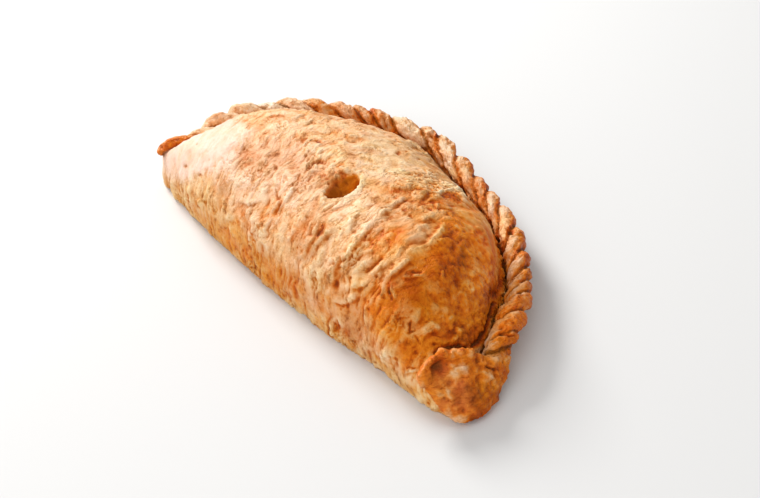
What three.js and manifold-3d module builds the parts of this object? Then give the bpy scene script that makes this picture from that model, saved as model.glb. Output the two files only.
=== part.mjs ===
// Cornish pasty: a half-moon of shortcrust folded over a filling, lying on its
// flat underside, with the cut edge twisted into a rope crimp.
// Millimetres, +Z up. +X runs along the straight fold, +Y from the fold to the
// crimp. The origin is the centre of the bounding box at the flat base.
import * as THREE from 'three';
import { mergeVertices } from 'three/addons/utils/BufferGeometryUtils.js';
import Module from 'manifold-3d';

// ---------------------------------------------------------------- dimensions
const BASE_SINK = 0.8;          // how far the raw shell dips below the flat base before it is trimmed
const TIP_HEIGHT = 8;           // height that the two ends of the case close at
const TIP_ROUND = 0.045;        // share of the length that rounds off at each end
const ROPE_INSET = 5.0;         // case wall to rope centre line, square to the rope
const ROPE_CORE_R = 3.8;        // pastry under the twist
const ROPE_CORE_DROP = 0.9;     // the core sits slightly below the twist's axis
const STRAND_R = 2.5;           // distance of each strand's axis from the rope axis
const STRAND_ROOT = 2.2;        // thickness of a strand inside its axis
const STRAND_FOOT = -30;        // degrees round the rope: where a strand starts, under the rim
const STRAND_TUCK = 200;        // and where it ends, down in the crease
const UNDERCUT = 3.2;           // how far the fold's front wall tucks in at the base
const BACK_TUCK = 2.6;          // the same under the crimp
const RIM_REACH = 1.2;          // the rim's pastry ends this far short of the rope axis
const RIM_THICK = 6;            // thickness of that rim
const WALL_HEIGHT = 10.5;       // widest level of the front wall
const TAB_THICK = 5.2;          // the crimp's end, folded back over the right tip
const LIP_R = 2.2;              // rolled lip on the tab's upper edge

const CASE_DIVISIONS = [45, 27];  // round the section, along the length
const STRAND_DIVISIONS = [9, 12];
const CORE_DIVISIONS = [8, 26];

// straight fold, left tip to right tip, at the base
const FOLD_LINE = [
  [-96.8, -36.2], [-91.5, -42.4], [-75, -46.8], [-50, -50.2], [-10, -52.8], [25, -53.5],
  [45, -51.5], [70, -51.5], [84, -49.8], [91, -47], [96, -42],
];
// axis of the rope crimp, left tip to right tip, with its height
const ROPE_AXIS = [
  [-88.5, -38, 15.0], [-87, -26, 15.8], [-86.6, -12.6, 17.0], [-83.2, 4.2, 17.6],
  [-73.4, 20.4, 17.4], [-59.4, 33.4, 16.6], [-42.8, 43.4, 15.2], [-26.6, 47.8, 13.8],
  [-9.8, 45.2, 12], [14.6, 38.2, 11.3], [36.8, 29.7, 11.2], [57, 16.1, 11.2],
  [68, 4.9, 11.2], [79.3, -12.1, 11.3], [88, -27, 10.5],
];
// station along the length, crest height of the case there
const CREST = [[0, 10.5], [0.06, 17.3], [0.15, 28.2], [0.3, 41.4], [0.45, 42.6], [0.6, 43],
  [0.7, 41.8], [0.75, 39.2], [0.8, 34.5], [0.85, 26], [0.88, 19.5], [0.92, 14], [1, 8]];
// where the crest lies between the fold (0) and the crimp (1)
const CREST_AT = [[0, 0.42], [0.25, 0.49], [0.6, 0.38], [1, 0.43]];
// fullness of the slope from crest to crimp
const BACK_FULL = [[0, 1.8], [0.25, 1.52], [0.6, 1.9], [0.85, 2.6], [1, 2.3]];
// height at which that slope meets the rope
const CREASE_HEIGHT = [[0, 14], [0.1, 14], [0.3, 12], [0.6, 9.5], [0.8, 8.5], [1, 8]];
// places along the rope where its strands crest, left to right
const STRAND_PLACES = [5, 14.6, 26.6, 37.2, 46.4, 56.2, 66.2, 77, 85.4, 93.4, 104.9, 119.4,
  130.3, 145, 158.8, 170.5, 184, 197.2, 208.4, 217.6, 224.8, 233.2, 245.2, 252.6];
// each strand's sizes, by its place: length of rope that it would run along for
// 220 degrees of turn
const STRAND_RUN = [[5, 24], [66, 22], [86, 18], [94, 18], [105, 29], [119, 34], [130, 50],
  [170, 50], [184, 41], [208, 29], [225, 24], [245, 27], [254, 20]];
// degrees round the rope at its blunt outer end and at its narrow inner end
const STRAND_OUTER = [[5, 59], [66, 66], [94, 80], [105, 80], [119, 55], [131, 63], [171, 68],
  [184, 40], [217, 44], [233, 27], [254, 32]];
const STRAND_INNER = [[5, 150], [77, 150], [93, 165], [105, 151], [130, 158], [171, 140],
  [197, 132], [208, 135], [225, 118], [233, 136], [245, 130], [254, 145]];
// half its width on the outside and over the top
const STRAND_HALF_OUT = [[5, 4], [15, 3.6], [27, 2.9], [37, 3], [46, 3.8], [77, 3.8], [85, 3.2],
  [93, 3.8], [105, 4.8], [119, 3.6], [130, 5.2], [145, 5.2], [160, 4.2], [171, 4.2], [184, 5],
  [197, 5], [218, 2.9], [225, 2.8], [233, 3.9], [245, 4.3], [253, 3.1]];
const STRAND_HALF_TOP = [[5, 3.6], [15, 3.2], [27, 2.7], [37, 2.8], [46, 3.3], [66, 3.6], [77, 3.4],
  [85, 2.9], [93, 3.5], [105, 4.1], [119, 3], [145, 3.2], [160, 2.6], [171, 2.6], [184, 3.4],
  [197, 3.6], [218, 2.5], [225, 2.4], [233, 3.5], [245, 3.9], [253, 2.9]];
// thickness outside its axis
const STRAND_THICK = [[5, 4], [15, 3.1], [27, 5.8], [37, 6.2], [46, 3.9], [56, 5.2], [66, 4.7],
  [77, 4], [85, 3.5], [93, 3.8], [105, 3.3], [119, 3.6], [130, 4.4], [145, 4.4], [160, 3.8],
  [184, 4.4], [208, 3.6], [225, 3.2], [233, 4], [245, 4.1], [253, 3.2]];
// share of those sizes, from a strand's foot (0) to its tucked end (1)
const STRAND_WIDE = [[0, 0.45], [0.10, 0.86], [0.25, 1], [0.6, 0.96], [0.85, 0.72], [1, 0.36]];
const STRAND_HIGH = [[0, 0.30], [0.13, 0.86], [0.32, 1], [0.6, 0.90], [0.84, 0.60], [1, 0.22]];

// the crimp's first fold, tucked in at the left tip
const FIRST_FOLD = { at: [-88.6, -36.6, 14.6], size: [5.6, 4.6, 4.2], turn: 20 };
// steam vent, pressed into the crest
const VENT = { at: [4.2, -24.6, 42.6], size: [8.2, 5.0, 6.4], turn: 28 };
// folded tab: outline of its top face, anticlockwise, and the middle of that face
const TAB_OUTLINE = [
  [81.0, -52.8, 16.6], [84.6, -53.2, 13.6], [88.4, -52.2, 11.0], [91.6, -51.0, 8.0],
  [94.9, -49.4, 5.0], [97.7, -47.4, 3.4], [99.0, -43.6, 3.2], [98.6, -37.2, 3.4],
  [96.6, -30.4, 4.2], [94.0, -25.6, 6.0], [90.6, -20.2, 9.4], [87.6, -16.8, 11.8],
  [84.6, -18.8, 13.8], [83.9, -23.6, 14.6], [84.3, -28.6, 16.6], [83.2, -33.6, 18.6],
  [81.4, -39.4, 19.6], [79.4, -44.6, 20.0], [79.0, -49.4, 19.0],
];
const TAB_MIDDLE = [89.0, -38.5, 15.4];
const TAB_LIP = [[83.8, -51.4, 12.6], [81.2, -51.0, 16.2], [80.2, -46.8, 17.9],
  [81.2, -41.0, 18.1], [83.6, -36.4, 17.8], [85.2, -31.6, 15.8]];
const TAB_DIMPLE = { at: [84.6, -46.2, 18.6], size: [2.8, 3.2, 2.6] };

const CRUST = 0xd08a4c;         // baked shortcrust
const CRUST_ROUGHNESS = 0.55;

// ------------------------------------------------------------------- curves
// cubic through [x, y] pairs, eased at every pair so that it never overshoots
function graph(pairs, x) {
  const n = pairs.length;
  if (x <= pairs[0][0]) return pairs[0][1];
  if (x >= pairs[n - 1][0]) return pairs[n - 1][1];
  const slope = (i) => (pairs[i + 1][1] - pairs[i][1]) / (pairs[i + 1][0] - pairs[i][0]);
  const tangent = (i) => {
    if (i === 0) return slope(0);
    if (i === n - 1) return slope(n - 2);
    const a = slope(i - 1);
    const b = slope(i);
    return a * b <= 0 ? 0 : (2 * a * b) / (a + b);
  };
  let k = 0;
  while (x > pairs[k + 1][0]) k += 1;
  const h = pairs[k + 1][0] - pairs[k][0];
  const t = (x - pairs[k][0]) / h;
  const y0 = pairs[k][1];
  const y1 = pairs[k + 1][1];
  const m0 = tangent(k) * h;
  const m1 = tangent(k + 1) * h;
  return (2 * t ** 3 - 3 * t ** 2 + 1) * y0 + (t ** 3 - 2 * t ** 2 + t) * m0
    + (-2 * t ** 3 + 3 * t ** 2) * y1 + (t ** 3 - t ** 2) * m1;
}

const curve = (points) => {
  const c = new THREE.CatmullRomCurve3(points.map((p) => new THREE.Vector3(p[0], p[1], p[2] || 0)),
    false, 'centripetal');
  c.arcLengthDivisions = 800;
  return c;
};
const fold = curve(FOLD_LINE);
const rope = curve(ROPE_AXIS);
const ROPE_LENGTH = rope.getLength();
const UP = new THREE.Vector3(0, 0, 1);

function ropeFrame(s) {
  const u = Math.min(1, Math.max(0, s / ROPE_LENGTH));
  const point = rope.getPointAt(u);
  const along = rope.getTangentAt(u).setZ(0).normalize();
  point.addScaledVector(along, s - u * ROPE_LENGTH);
  const outward = new THREE.Vector3(-along.y, along.x, 0);
  return { point, along, outward };
}

// ------------------------------------------------------------------- solids
const wasm = await Module();
wasm.setup();

// A sphere of the given divisions with each vertex moved to place(u, v): u runs
// once round, v from 0 at one pole to 1 at the other.
function closedSkin(around, length, place) {
  const geometry = new THREE.SphereGeometry(1, around, length);
  const position = geometry.getAttribute('position');
  const uv = geometry.getAttribute('uv');
  for (let i = 0; i < position.count; i += 1) {
    const v = 1 - uv.getY(i);
    const pole = v < 1e-6 || v > 1 - 1e-6;
    const u = pole ? 0 : uv.getX(i) % 1;
    const p = place(u, v);
    position.setXYZ(i, p.x, p.y, p.z);
  }
  return solid(geometry);
}

// A closed skin as a solid whose faces point out.
function solid(geometry) {
  geometry.deleteAttribute('normal');
  geometry.deleteAttribute('uv');
  const merged = mergeVertices(geometry, 1e-4);
  const index = merged.getIndex().array;
  const points = merged.getAttribute('position').array;
  const triangles = [];
  let volume = 0;
  for (let i = 0; i < index.length; i += 3) {
    const [a, b, c] = [index[i], index[i + 1], index[i + 2]];
    if (a === b || b === c || a === c) continue;
    triangles.push(a, b, c);
    const A = new THREE.Vector3().fromArray(points, a * 3);
    const B = new THREE.Vector3().fromArray(points, b * 3);
    const C = new THREE.Vector3().fromArray(points, c * 3);
    volume += A.dot(B.cross(C));
  }
  if (volume < 0) triangles.reverse();
  return new wasm.Manifold(new wasm.Mesh({
    numProp: 3,
    vertProperties: Float32Array.from(points),
    triVerts: Uint32Array.from(triangles),
  }));
}

// The filled case: one section per station between the fold and the rope.
function caseSection(t) {
  const front = fold.getPointAt(t);
  const f = ropeFrame(t * ROPE_LENGTH);
  const across = new THREE.Vector3().subVectors(f.point, front).setZ(0);
  const span = across.length();
  across.normalize();
  const square = Math.max(0.2, Math.abs(across.dot(f.outward)));
  const width = Math.max(span - Math.min(ROPE_INSET / square, 13), 0.6);
  const crest = graph(CREST, t);
  const crestAt = graph(CREST_AT, t) * width;
  const full = graph(BACK_FULL, t);
  const crease = Math.min(graph(CREASE_HEIGHT, t), crest * 0.8);
  const wall = Math.min(WALL_HEIGHT, crest * 0.36);
  const tuck = Math.min(UNDERCUT, width * 0.25);
  return {
    front, across, span, width, crest, crestAt, full, crease, wall, tuck, ropeHeight: f.point.z,
  };
}

function casePoint(u, v) {
  const t = 0.5 - 0.5 * Math.cos(Math.PI * (0.12 * Math.sin(Math.PI * v) ** 2 * (0.5 - v) + v));
  const k = caseSection(Math.min(1, Math.max(0, t)));
  let w;
  let z;
  if (u < 0.34) {                         // front wall, up to the crest
    const a = (u / 0.34) * Math.PI / 2;
    w = k.crestAt * (1 - Math.cos(a) ** (2 / 2.3));
    z = k.wall + (k.crest - k.wall) * Math.sin(a) ** (2 / 2.1);
  } else if (u < 0.74) {                  // crest, down to the crease
    const x = Math.sin(((u - 0.34) / 0.40) * Math.PI / 2) ** 0.9;
    w = k.crestAt + (k.width - k.crestAt) * x;
    z = k.crease + (k.crest - k.crease) * (1 - x ** k.full) ** (1 / (1 + (k.full - 1) * 0.55));
  } else if (u < 0.84) {                  // rim that carries the crimp, and the wall below it
    const x = (u - 0.74) / 0.10;
    const reach = Math.max(k.width, k.span - RIM_REACH);
    const inner = k.width - BACK_TUCK * Math.min(1, k.width / 20);
    const top = Math.max(k.crease - 1, k.ropeHeight - 1);
    const under = Math.max(top - RIM_THICK, 1);
    if (x < 0.34) {
      w = THREE.MathUtils.lerp(k.width, reach, x / 0.34);
      z = THREE.MathUtils.lerp(k.crease, top, x / 0.34);
    } else if (x < 0.67) {
      w = THREE.MathUtils.lerp(reach, reach - 1.5, (x - 0.34) / 0.33);
      z = THREE.MathUtils.lerp(top, under, (x - 0.34) / 0.33);
    } else {
      w = THREE.MathUtils.lerp(reach - 1.5, inner, (x - 0.67) / 0.33);
      z = THREE.MathUtils.lerp(under, -BASE_SINK, (x - 0.67) / 0.33);
    }
  } else if (u < 0.93) {                  // underside
    const x = (u - 0.84) / 0.09;
    w = (k.width - BACK_TUCK * Math.min(1, k.width / 20)) * (1 - x) + k.tuck * x;
    z = -BASE_SINK;
  } else {                                // undercut below the front wall
    const x = (u - 0.93) / 0.07;
    w = k.tuck * (1 - Math.sin(x * Math.PI / 2));
    z = -BASE_SINK + (k.wall + BASE_SINK) * (1 - Math.cos(x * Math.PI / 2));
  }
  // the ends close in a rounded tip
  const end = Math.min(t, 1 - t) / TIP_ROUND;
  const e = end < 1 ? Math.sqrt(Math.max(0, 1 - (1 - end) ** 2)) : 1;
  const middle = k.width * 0.5;
  w = middle + (w - middle) * e;
  z = TIP_HEIGHT + (z - TIP_HEIGHT) * e;
  return new THREE.Vector3().copy(k.front).addScaledVector(k.across, w).setZ(z);
}

// Round bar with rounded ends, along frames given by arc length.
function bar(divisions, length, radius, frame) {
  return closedSkin(divisions[0], divisions[1], (u, v) => {
    const s = length * (0.5 - 0.5 * Math.cos(Math.PI * v));
    const r = radius * Math.min(1, Math.sqrt(Math.min(s, length - s) / radius));
    const { point, side, top } = frame(s);
    const a = u * Math.PI * 2;
    return point.clone().addScaledVector(side, r * Math.cos(a)).addScaledVector(top, r * Math.sin(a));
  });
}

// One strand of the crimp: up round the outside of the rope from under the rim,
// over its top at a slant and down into the crease.
function strand(place) {
  const run = graph(STRAND_RUN, place);
  const outer = graph(STRAND_OUTER, place);
  const inner = graph(STRAND_INNER, place);
  const halfOut = graph(STRAND_HALF_OUT, place);
  const halfTop = graph(STRAND_HALF_TOP, place);
  const thick = graph(STRAND_THICK, place);
  const reach = STRAND_R + thick;
  const rad = THREE.MathUtils.degToRad;
  const at = (turn) => place + ((turn - 90) / 220) * run;
  // its line on the unrolled rope: distance along, distance round
  const line = curve([
    [at(outer) - ((outer - STRAND_FOOT) / 220) * Math.min(run, 16), rad(STRAND_FOOT) * reach],
    [at(outer), rad(outer) * reach],
    [(at(outer) + at(inner)) / 2, rad((outer + inner) / 2) * reach],
    [at(inner), rad(inner) * reach],
    [at(inner) + ((STRAND_TUCK - inner) / 220) * Math.min(run, 22), rad(STRAND_TUCK) * reach],
  ]);
  const lengths = line.getLengths();
  const bend = lengths[Math.round(lengths.length / 4)] / lengths[lengths.length - 1];
  const centre = (q) => {
    const p = line.getPointAt(Math.min(1, Math.max(0, q)));
    const turn = p.y / reach;
    const { point, outward } = ropeFrame(p.x);
    const radial = outward.clone().multiplyScalar(Math.cos(turn)).addScaledVector(UP, Math.sin(turn));
    return { point, radial, skin: point.clone().addScaledVector(radial, reach) };
  };
  return closedSkin(STRAND_DIVISIONS[0], STRAND_DIVISIONS[1], (u, v) => {
    const q = THREE.MathUtils.lerp(v, 0.5 - 0.5 * Math.cos(Math.PI * v), 0.6);
    const { point, radial } = centre(q);
    const heading = centre(q + 0.02).skin.sub(centre(q - 0.02).skin).normalize();
    const side = new THREE.Vector3().crossVectors(heading, radial).normalize();
    const over = THREE.MathUtils.smoothstep(q, bend * 0.9, bend + 0.25);
    const cap = Math.sqrt(1 - (1 - Math.min(1, Math.min(q, 1 - q) / 0.05)) ** 2);
    const wide = cap * graph(STRAND_WIDE, q) * THREE.MathUtils.lerp(halfOut, halfTop, over);
    const high = cap * graph(STRAND_HIGH, q);
    const a = u * Math.PI * 2;
    const c = Math.sign(Math.cos(a)) * Math.abs(Math.cos(a)) ** 0.85;
    const depth = c > 0 ? thick : STRAND_ROOT;
    return point.clone().addScaledVector(radial, STRAND_R + high * depth * c)
      .addScaledVector(side, wide * Math.sin(a));
  });
}

// The crimp's last stretch, folded back over the right tip as a thick tab.
function tab() {
  const outline = new THREE.CatmullRomCurve3(TAB_OUTLINE.map((p) => new THREE.Vector3(...p)), true, 'centripetal');
  const middle = new THREE.Vector3(...TAB_MIDDLE);
  return closedSkin(40, 14, (u, v) => {
    const rim = outline.getPoint(u);
    const out = Math.sin(Math.PI * v);
    const p = new THREE.Vector3().lerpVectors(middle, rim, out ** 0.85);
    const plane = THREE.MathUtils.lerp(middle.z, rim.z, out);
    const floor = Math.max(plane - TAB_THICK * 1.5, 0.4);
    const edge = plane - (plane - floor) * 0.32;      // level of the tab's rounded edge
    p.z = v < 0.5 ? THREE.MathUtils.lerp(plane, edge, out ** 7) : THREE.MathUtils.lerp(floor, edge, out ** 5);
    return p;
  });
}

// Rolled lip along the tab's raised edge.
function lip() {
  const edge = curve(TAB_LIP);
  const length = edge.getLength();
  return bar([8, 18], length, LIP_R, (s) => {
    const u = Math.min(1, Math.max(0, s / length));
    const point = edge.getPointAt(u);
    const tangent = edge.getTangentAt(u);
    const side = new THREE.Vector3().crossVectors(tangent, UP).normalize();
    const top = new THREE.Vector3().crossVectors(side, tangent).normalize();
    return { point, side, top };
  });
}

// Ellipsoid, for the small lump at the crimp's start and for hollows in the crust.
function ellipsoid({ at, size, turn = 0 }, divisions) {
  const geometry = new THREE.SphereGeometry(1, divisions, Math.round(divisions * 0.6));
  geometry.scale(...size);
  geometry.rotateZ(THREE.MathUtils.degToRad(turn));
  geometry.translate(...at);
  return solid(geometry);
}

function pasty() {
  let body = closedSkin(CASE_DIVISIONS[0], CASE_DIVISIONS[1], casePoint);
  body = body.add(bar(CORE_DIVISIONS, ROPE_LENGTH, ROPE_CORE_R, (s) => {
    const { point, outward } = ropeFrame(s);
    point.z -= ROPE_CORE_DROP;
    return { point, side: outward, top: UP };
  }));
  STRAND_PLACES.forEach((place) => {
    body = body.add(strand(place));
  });
  body = body.add(ellipsoid(FIRST_FOLD, 12)).add(tab()).add(lip());
  body = body.subtract(ellipsoid(TAB_DIMPLE, 12)).subtract(ellipsoid(VENT, 20));
  // flat base, where the pasty sat on its tray
  const below = new THREE.BoxGeometry(400, 400, 60);
  below.translate(0, 0, -30);
  return body.subtract(solid(below));
}

function toGeometry(manifold) {
  const mesh = manifold.getMesh();
  const geometry = new THREE.BufferGeometry();
  geometry.setAttribute('position', new THREE.BufferAttribute(Float32Array.from(mesh.vertProperties), 3));
  geometry.setIndex(new THREE.BufferAttribute(Uint32Array.from(mesh.triVerts), 1));
  geometry.computeBoundingBox();
  const box = geometry.boundingBox;
  geometry.translate(-(box.min.x + box.max.x) / 2, -(box.min.y + box.max.y) / 2, -box.min.z);
  geometry.computeVertexNormals();
  return geometry;
}

const part = new THREE.Group();
const crust = new THREE.MeshStandardMaterial({ color: CRUST, roughness: CRUST_ROUGHNESS, metalness: 0 });
const mesh = new THREE.Mesh(toGeometry(pasty()), crust);
mesh.name = 'pasty';
part.add(mesh);

export default part;
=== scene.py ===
import math
import bpy
import bmesh
import numpy as np
from mathutils import Vector, Matrix, kdtree


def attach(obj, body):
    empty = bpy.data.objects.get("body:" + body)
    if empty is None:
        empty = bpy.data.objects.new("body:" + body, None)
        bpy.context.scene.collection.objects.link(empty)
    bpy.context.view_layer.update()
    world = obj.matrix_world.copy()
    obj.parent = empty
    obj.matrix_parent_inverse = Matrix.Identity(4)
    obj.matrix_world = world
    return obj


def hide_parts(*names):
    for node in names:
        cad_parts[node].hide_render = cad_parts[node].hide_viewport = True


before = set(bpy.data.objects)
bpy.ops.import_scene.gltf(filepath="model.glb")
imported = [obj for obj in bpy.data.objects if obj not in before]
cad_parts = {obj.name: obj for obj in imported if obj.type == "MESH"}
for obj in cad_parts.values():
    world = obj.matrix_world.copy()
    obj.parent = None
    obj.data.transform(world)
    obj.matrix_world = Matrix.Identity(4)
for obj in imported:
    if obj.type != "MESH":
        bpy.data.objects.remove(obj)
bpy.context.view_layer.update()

SHIFT = np.array([-1.816, -0.124, 0.0])       # drawing frame -> part frame, mm
VOXEL = 0.50                                 # mm, finest size of the modelled crust
TRIANGLES = 196000

# --------------------------------------------------------------- dimensions
# The same drawing as the CAD solid, in millimetres.
TIP_HEIGHT, TIP_ROUND, BASE_SINK = 8.0, 0.045, 0.8
ROPE_INSET, ROPE_CORE_R, ROPE_CORE_DROP = 5.0, 3.8, 0.9
TWIST_R, TWIST_ROOT = 2.5, 2.2
UNDERCUT, BACK_TUCK, RIM_REACH, RIM_THICK, WALL_HEIGHT = 3.2, 2.6, 1.2, 6.0, 10.5
TAB_THICK, LIP_R = 5.2, 2.2
FOLD_LINE = [[-96.8, -36.2], [-91.5, -42.4], [-75, -46.8], [-50, -50.2], [-10, -52.8], [25, -53.5],
             [45, -51.5], [70, -51.5], [84, -49.8], [91, -47], [96, -42]]
ROPE_AXIS = [[-88.5, -38, 15.0], [-87, -26, 15.8], [-86.6, -12.6, 17.0], [-83.2, 4.2, 17.6],
             [-73.4, 20.4, 17.4], [-59.4, 33.4, 16.6], [-42.8, 43.4, 15.2], [-26.6, 47.8, 13.8],
             [-9.8, 45.2, 12], [14.6, 38.2, 11.3], [36.8, 29.7, 11.2], [57, 16.1, 11.2],
             [68, 4.9, 11.2], [79.3, -12.1, 11.3], [88, -27, 10.5]]
CREST = [[0, 10.5], [0.06, 17.3], [0.15, 28.2], [0.3, 41.4], [0.45, 42.6], [0.6, 43],
         [0.7, 41.8], [0.75, 39.2], [0.8, 34.5], [0.85, 26], [0.88, 19.5], [0.92, 14], [1, 8]]
CREST_AT = [[0, 0.42], [0.25, 0.49], [0.6, 0.38], [1, 0.43]]
BACK_FULL = [[0, 1.8], [0.25, 1.52], [0.6, 1.9], [0.85, 2.6], [1, 2.3]]
CREASE_HEIGHT = [[0, 14], [0.1, 14], [0.3, 12], [0.6, 9.5], [0.8, 8.5], [1, 8]]
# each strand of the crimp: place on the rope where it crests, run along the rope for 220 degrees
# of turn, turn of its blunt outer end and of its narrow inner end, half width on the outside and
# half width over the top, thickness
STRANDS = [
    [5.0, 24, 60, 150, 4.0, 3.6, 4.0], [14.6, 22, 55, 150, 3.6, 3.2, 3.1], [26.6, 24, 58, 150, 2.9, 2.7, 5.8],
    [37.2, 24, 60, 150, 3.0, 2.8, 6.2], [46.4, 24, 62, 152, 3.8, 3.3, 3.9], [56.2, 24, 64, 150, 3.8, 3.4, 5.2],
    [66.2, 22, 66, 152, 3.9, 3.6, 4.7], [77.0, 22, 67, 150, 3.8, 3.4, 4.0], [85.4, 18, 61, 160, 3.2, 2.9, 3.5],
    [93.4, 18, 80, 165, 3.8, 3.5, 3.8], [104.9, 29, 80, 151, 4.8, 4.1, 3.3], [119.4, 34, 55, 152, 3.6, 3.0, 3.6],
    [130.3, 50, 63, 160, 5.2, 3.2, 4.4], [145.0, 54, 68, 152, 5.2, 3.2, 4.4], [158.8, 50, 67, 145, 4.3, 2.6, 3.8],
    [170.5, 50, 68, 140, 4.2, 2.6, 3.9], [184.0, 41, 40, 140, 5.0, 3.4, 4.4], [197.2, 37, 38, 132, 5.0, 3.6, 4.2],
    [208.4, 29, 42, 135, 3.6, 3.0, 3.6], [217.6, 26, 44, 128, 2.9, 2.5, 3.2], [224.8, 24, 38, 118, 2.8, 2.4, 3.2],
    [233.2, 26, 27, 136, 3.9, 3.5, 4.0], [245.2, 27, 30, 130, 4.3, 3.9, 4.1], [252.6, 20, 32, 145, 3.1, 2.9, 3.2]]
STRAND_WIDE = [[0, 0.45], [0.10, 0.86], [0.25, 1.0], [0.6, 0.96], [0.85, 0.72], [1, 0.36]]
STRAND_HIGH = [[0, 0.30], [0.13, 0.86], [0.32, 1.0], [0.6, 0.90], [0.84, 0.60], [1, 0.22]]
TAB_OUTLINE = [[81.0, -52.8, 16.6], [84.6, -53.2, 13.6], [88.4, -52.2, 11.0], [91.6, -51.0, 8.0],
               [94.9, -49.4, 5.0], [97.7, -47.4, 3.4], [99.0, -43.6, 3.2], [98.6, -37.2, 3.4],
               [96.6, -30.4, 4.2], [94.0, -25.6, 6.0], [90.6, -20.2, 9.4], [87.6, -16.8, 11.8],
               [84.6, -18.8, 13.8], [83.9, -23.6, 14.6], [84.3, -28.6, 16.6], [83.2, -33.6, 18.6],
               [81.4, -39.4, 19.6], [79.4, -44.6, 20.0], [79.0, -49.4, 19.0]]
TAB_MIDDLE = [89.0, -38.5, 15.4]
TAB_LIP = [[83.8, -51.4, 12.6], [81.2, -51.0, 16.2], [80.2, -46.8, 17.9],
           [81.2, -41.0, 18.1], [83.6, -36.4, 17.8], [85.2, -31.6, 15.8]]
FIRST_FOLD = ([-88.6, -36.6, 14.6], [5.6, 4.6, 4.2], 20)

# the camera, in the drawing frame
CAM_AT = np.array([354.955, -302.275, 342.897])
CAM_RIGHT = np.array([0.64547, 0.76378, 0.0])
CAM_FWD = np.array([-0.61397, 0.51887, -0.59482])
CAM_UP = np.array([-0.45432, 0.38394, 0.80386])
FOCAL, MID_X, MID_Y = 1473.0, 380.0, 249.0


# ------------------------------------------------------------------- curves
def graph(pairs, x):
    p = np.asarray(pairs, float)
    x = np.clip(np.asarray(x, float), p[0, 0], p[-1, 0])
    d = np.diff(p[:, 1]) / np.diff(p[:, 0])
    m = np.zeros(len(p))
    m[0], m[-1] = d[0], d[-1]
    a, b = d[:-1], d[1:]
    ok = a * b > 0
    m[1:-1][ok] = 2 * a[ok] * b[ok] / (a[ok] + b[ok])
    k = np.clip(np.searchsorted(p[:, 0], x, side="left") - 1, 0, len(p) - 2)
    h = p[k + 1, 0] - p[k, 0]
    t = (x - p[k, 0]) / h
    return ((2 * t**3 - 3 * t**2 + 1) * p[k, 1] + (t**3 - 2 * t**2 + t) * m[k] * h
            + (-2 * t**3 + 3 * t**2) * p[k + 1, 1] + (t**3 - t**2) * m[k + 1] * h)


def spline(points, closed=False, n=60):
    P = np.asarray(points, float)
    if P.shape[1] == 2:
        P = np.c_[P, np.zeros(len(P))]
    L = len(P)
    out = []
    for i in range(L if closed else L - 1):
        if closed:
            p0, p1, p2, p3 = P[(i - 1) % L], P[i], P[(i + 1) % L], P[(i + 2) % L]
        else:
            p1, p2 = P[i], P[i + 1]
            p0 = P[i - 1] if i > 0 else 2 * P[0] - P[1]
            p3 = P[i + 2] if i + 2 < L else 2 * P[-1] - P[-2]
        d0, d1, d2 = (max(np.linalg.norm(q) ** 0.5, 1e-4) for q in (p1 - p0, p2 - p1, p3 - p2))
        t1 = ((p1 - p0) / d0 - (p2 - p0) / (d0 + d1) + (p2 - p1) / d1) * d1
        t2 = ((p2 - p1) / d1 - (p3 - p1) / (d1 + d2) + (p3 - p2) / d2) * d1
        t = np.linspace(0, 1, n, endpoint=False)[:, None]
        out.append(p1 + t1 * t + (-3 * p1 + 3 * p2 - 2 * t1 - t2) * t**2 + (2 * p1 - 2 * p2 + t1 + t2) * t**3)
    C = np.vstack(out + [P[:1] if closed else P[-1:]])
    return C, np.r_[0, np.cumsum(np.linalg.norm(np.diff(C, axis=0), axis=1))]


def along(curve, s):
    C, D = curve
    return np.stack([np.interp(s, D, C[:, k]) for k in range(3)], -1)


FOLD, ROPE = spline(FOLD_LINE), spline(ROPE_AXIS)
FOLD_LEN, ROPE_LEN = FOLD[1][-1], ROPE[1][-1]


def rope_frame(s):
    s = np.asarray(s, float)
    c = np.clip(s, 0, ROPE_LEN)
    point = along(ROPE, c)
    t = along(ROPE, np.clip(c + 0.6, 0, ROPE_LEN)) - along(ROPE, np.clip(c - 0.6, 0, ROPE_LEN))
    t[..., 2] = 0
    t /= np.linalg.norm(t, axis=-1, keepdims=True)
    point = point + t * (s - c)[..., None]
    out = np.stack([-t[..., 1], t[..., 0], 0 * s], -1)
    return point, t, out


def smoothstep(a, b, x):
    t = np.clip((np.asarray(x, float) - a) / (b - a), 0, 1)
    return t * t * (3 - 2 * t)


# -------------------------------------------------------------------- noise
_rng = np.random.default_rng(20240817)
_PERM = np.r_[_rng.permutation(256), np.zeros(0, int)].astype(np.int64)
_GRAD = _rng.normal(size=(256, 3))
_GRAD /= np.linalg.norm(_GRAD, axis=1, keepdims=True)


def _hash(i, j, k):
    return _PERM[(_PERM[(_PERM[i & 255] + j) & 255] + k) & 255]


def noise(p, seed=0):
    """Gradient noise of points in their own scale, about -1 to 1."""
    p = np.asarray(p, float) + seed * np.array([17.17, 41.31, 73.73])
    f = np.floor(p)
    r = p - f
    f = f.astype(np.int64)
    w = r * r * r * (r * (r * 6 - 15) + 10)
    total = np.zeros(len(p))
    for dx in (0, 1):
        wx = w[:, 0] if dx else 1 - w[:, 0]
        for dy in (0, 1):
            wy = w[:, 1] if dy else 1 - w[:, 1]
            for dz in (0, 1):
                wz = w[:, 2] if dz else 1 - w[:, 2]
                g = _GRAD[_hash(f[:, 0] + dx, f[:, 1] + dy, f[:, 2] + dz)]
                total += wx * wy * wz * (g[:, 0] * (r[:, 0] - dx) + g[:, 1] * (r[:, 1] - dy) + g[:, 2] * (r[:, 2] - dz))
    return total * 1.5


def fbm(p, octaves=4, seed=0, gain=0.5):
    total, amp, norm = 0, 1.0, 0.0
    for o in range(octaves):
        total = total + amp * noise(p * 2.03**o, seed + 5 * o)
        norm += amp
        amp *= gain
    return total / norm


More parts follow.
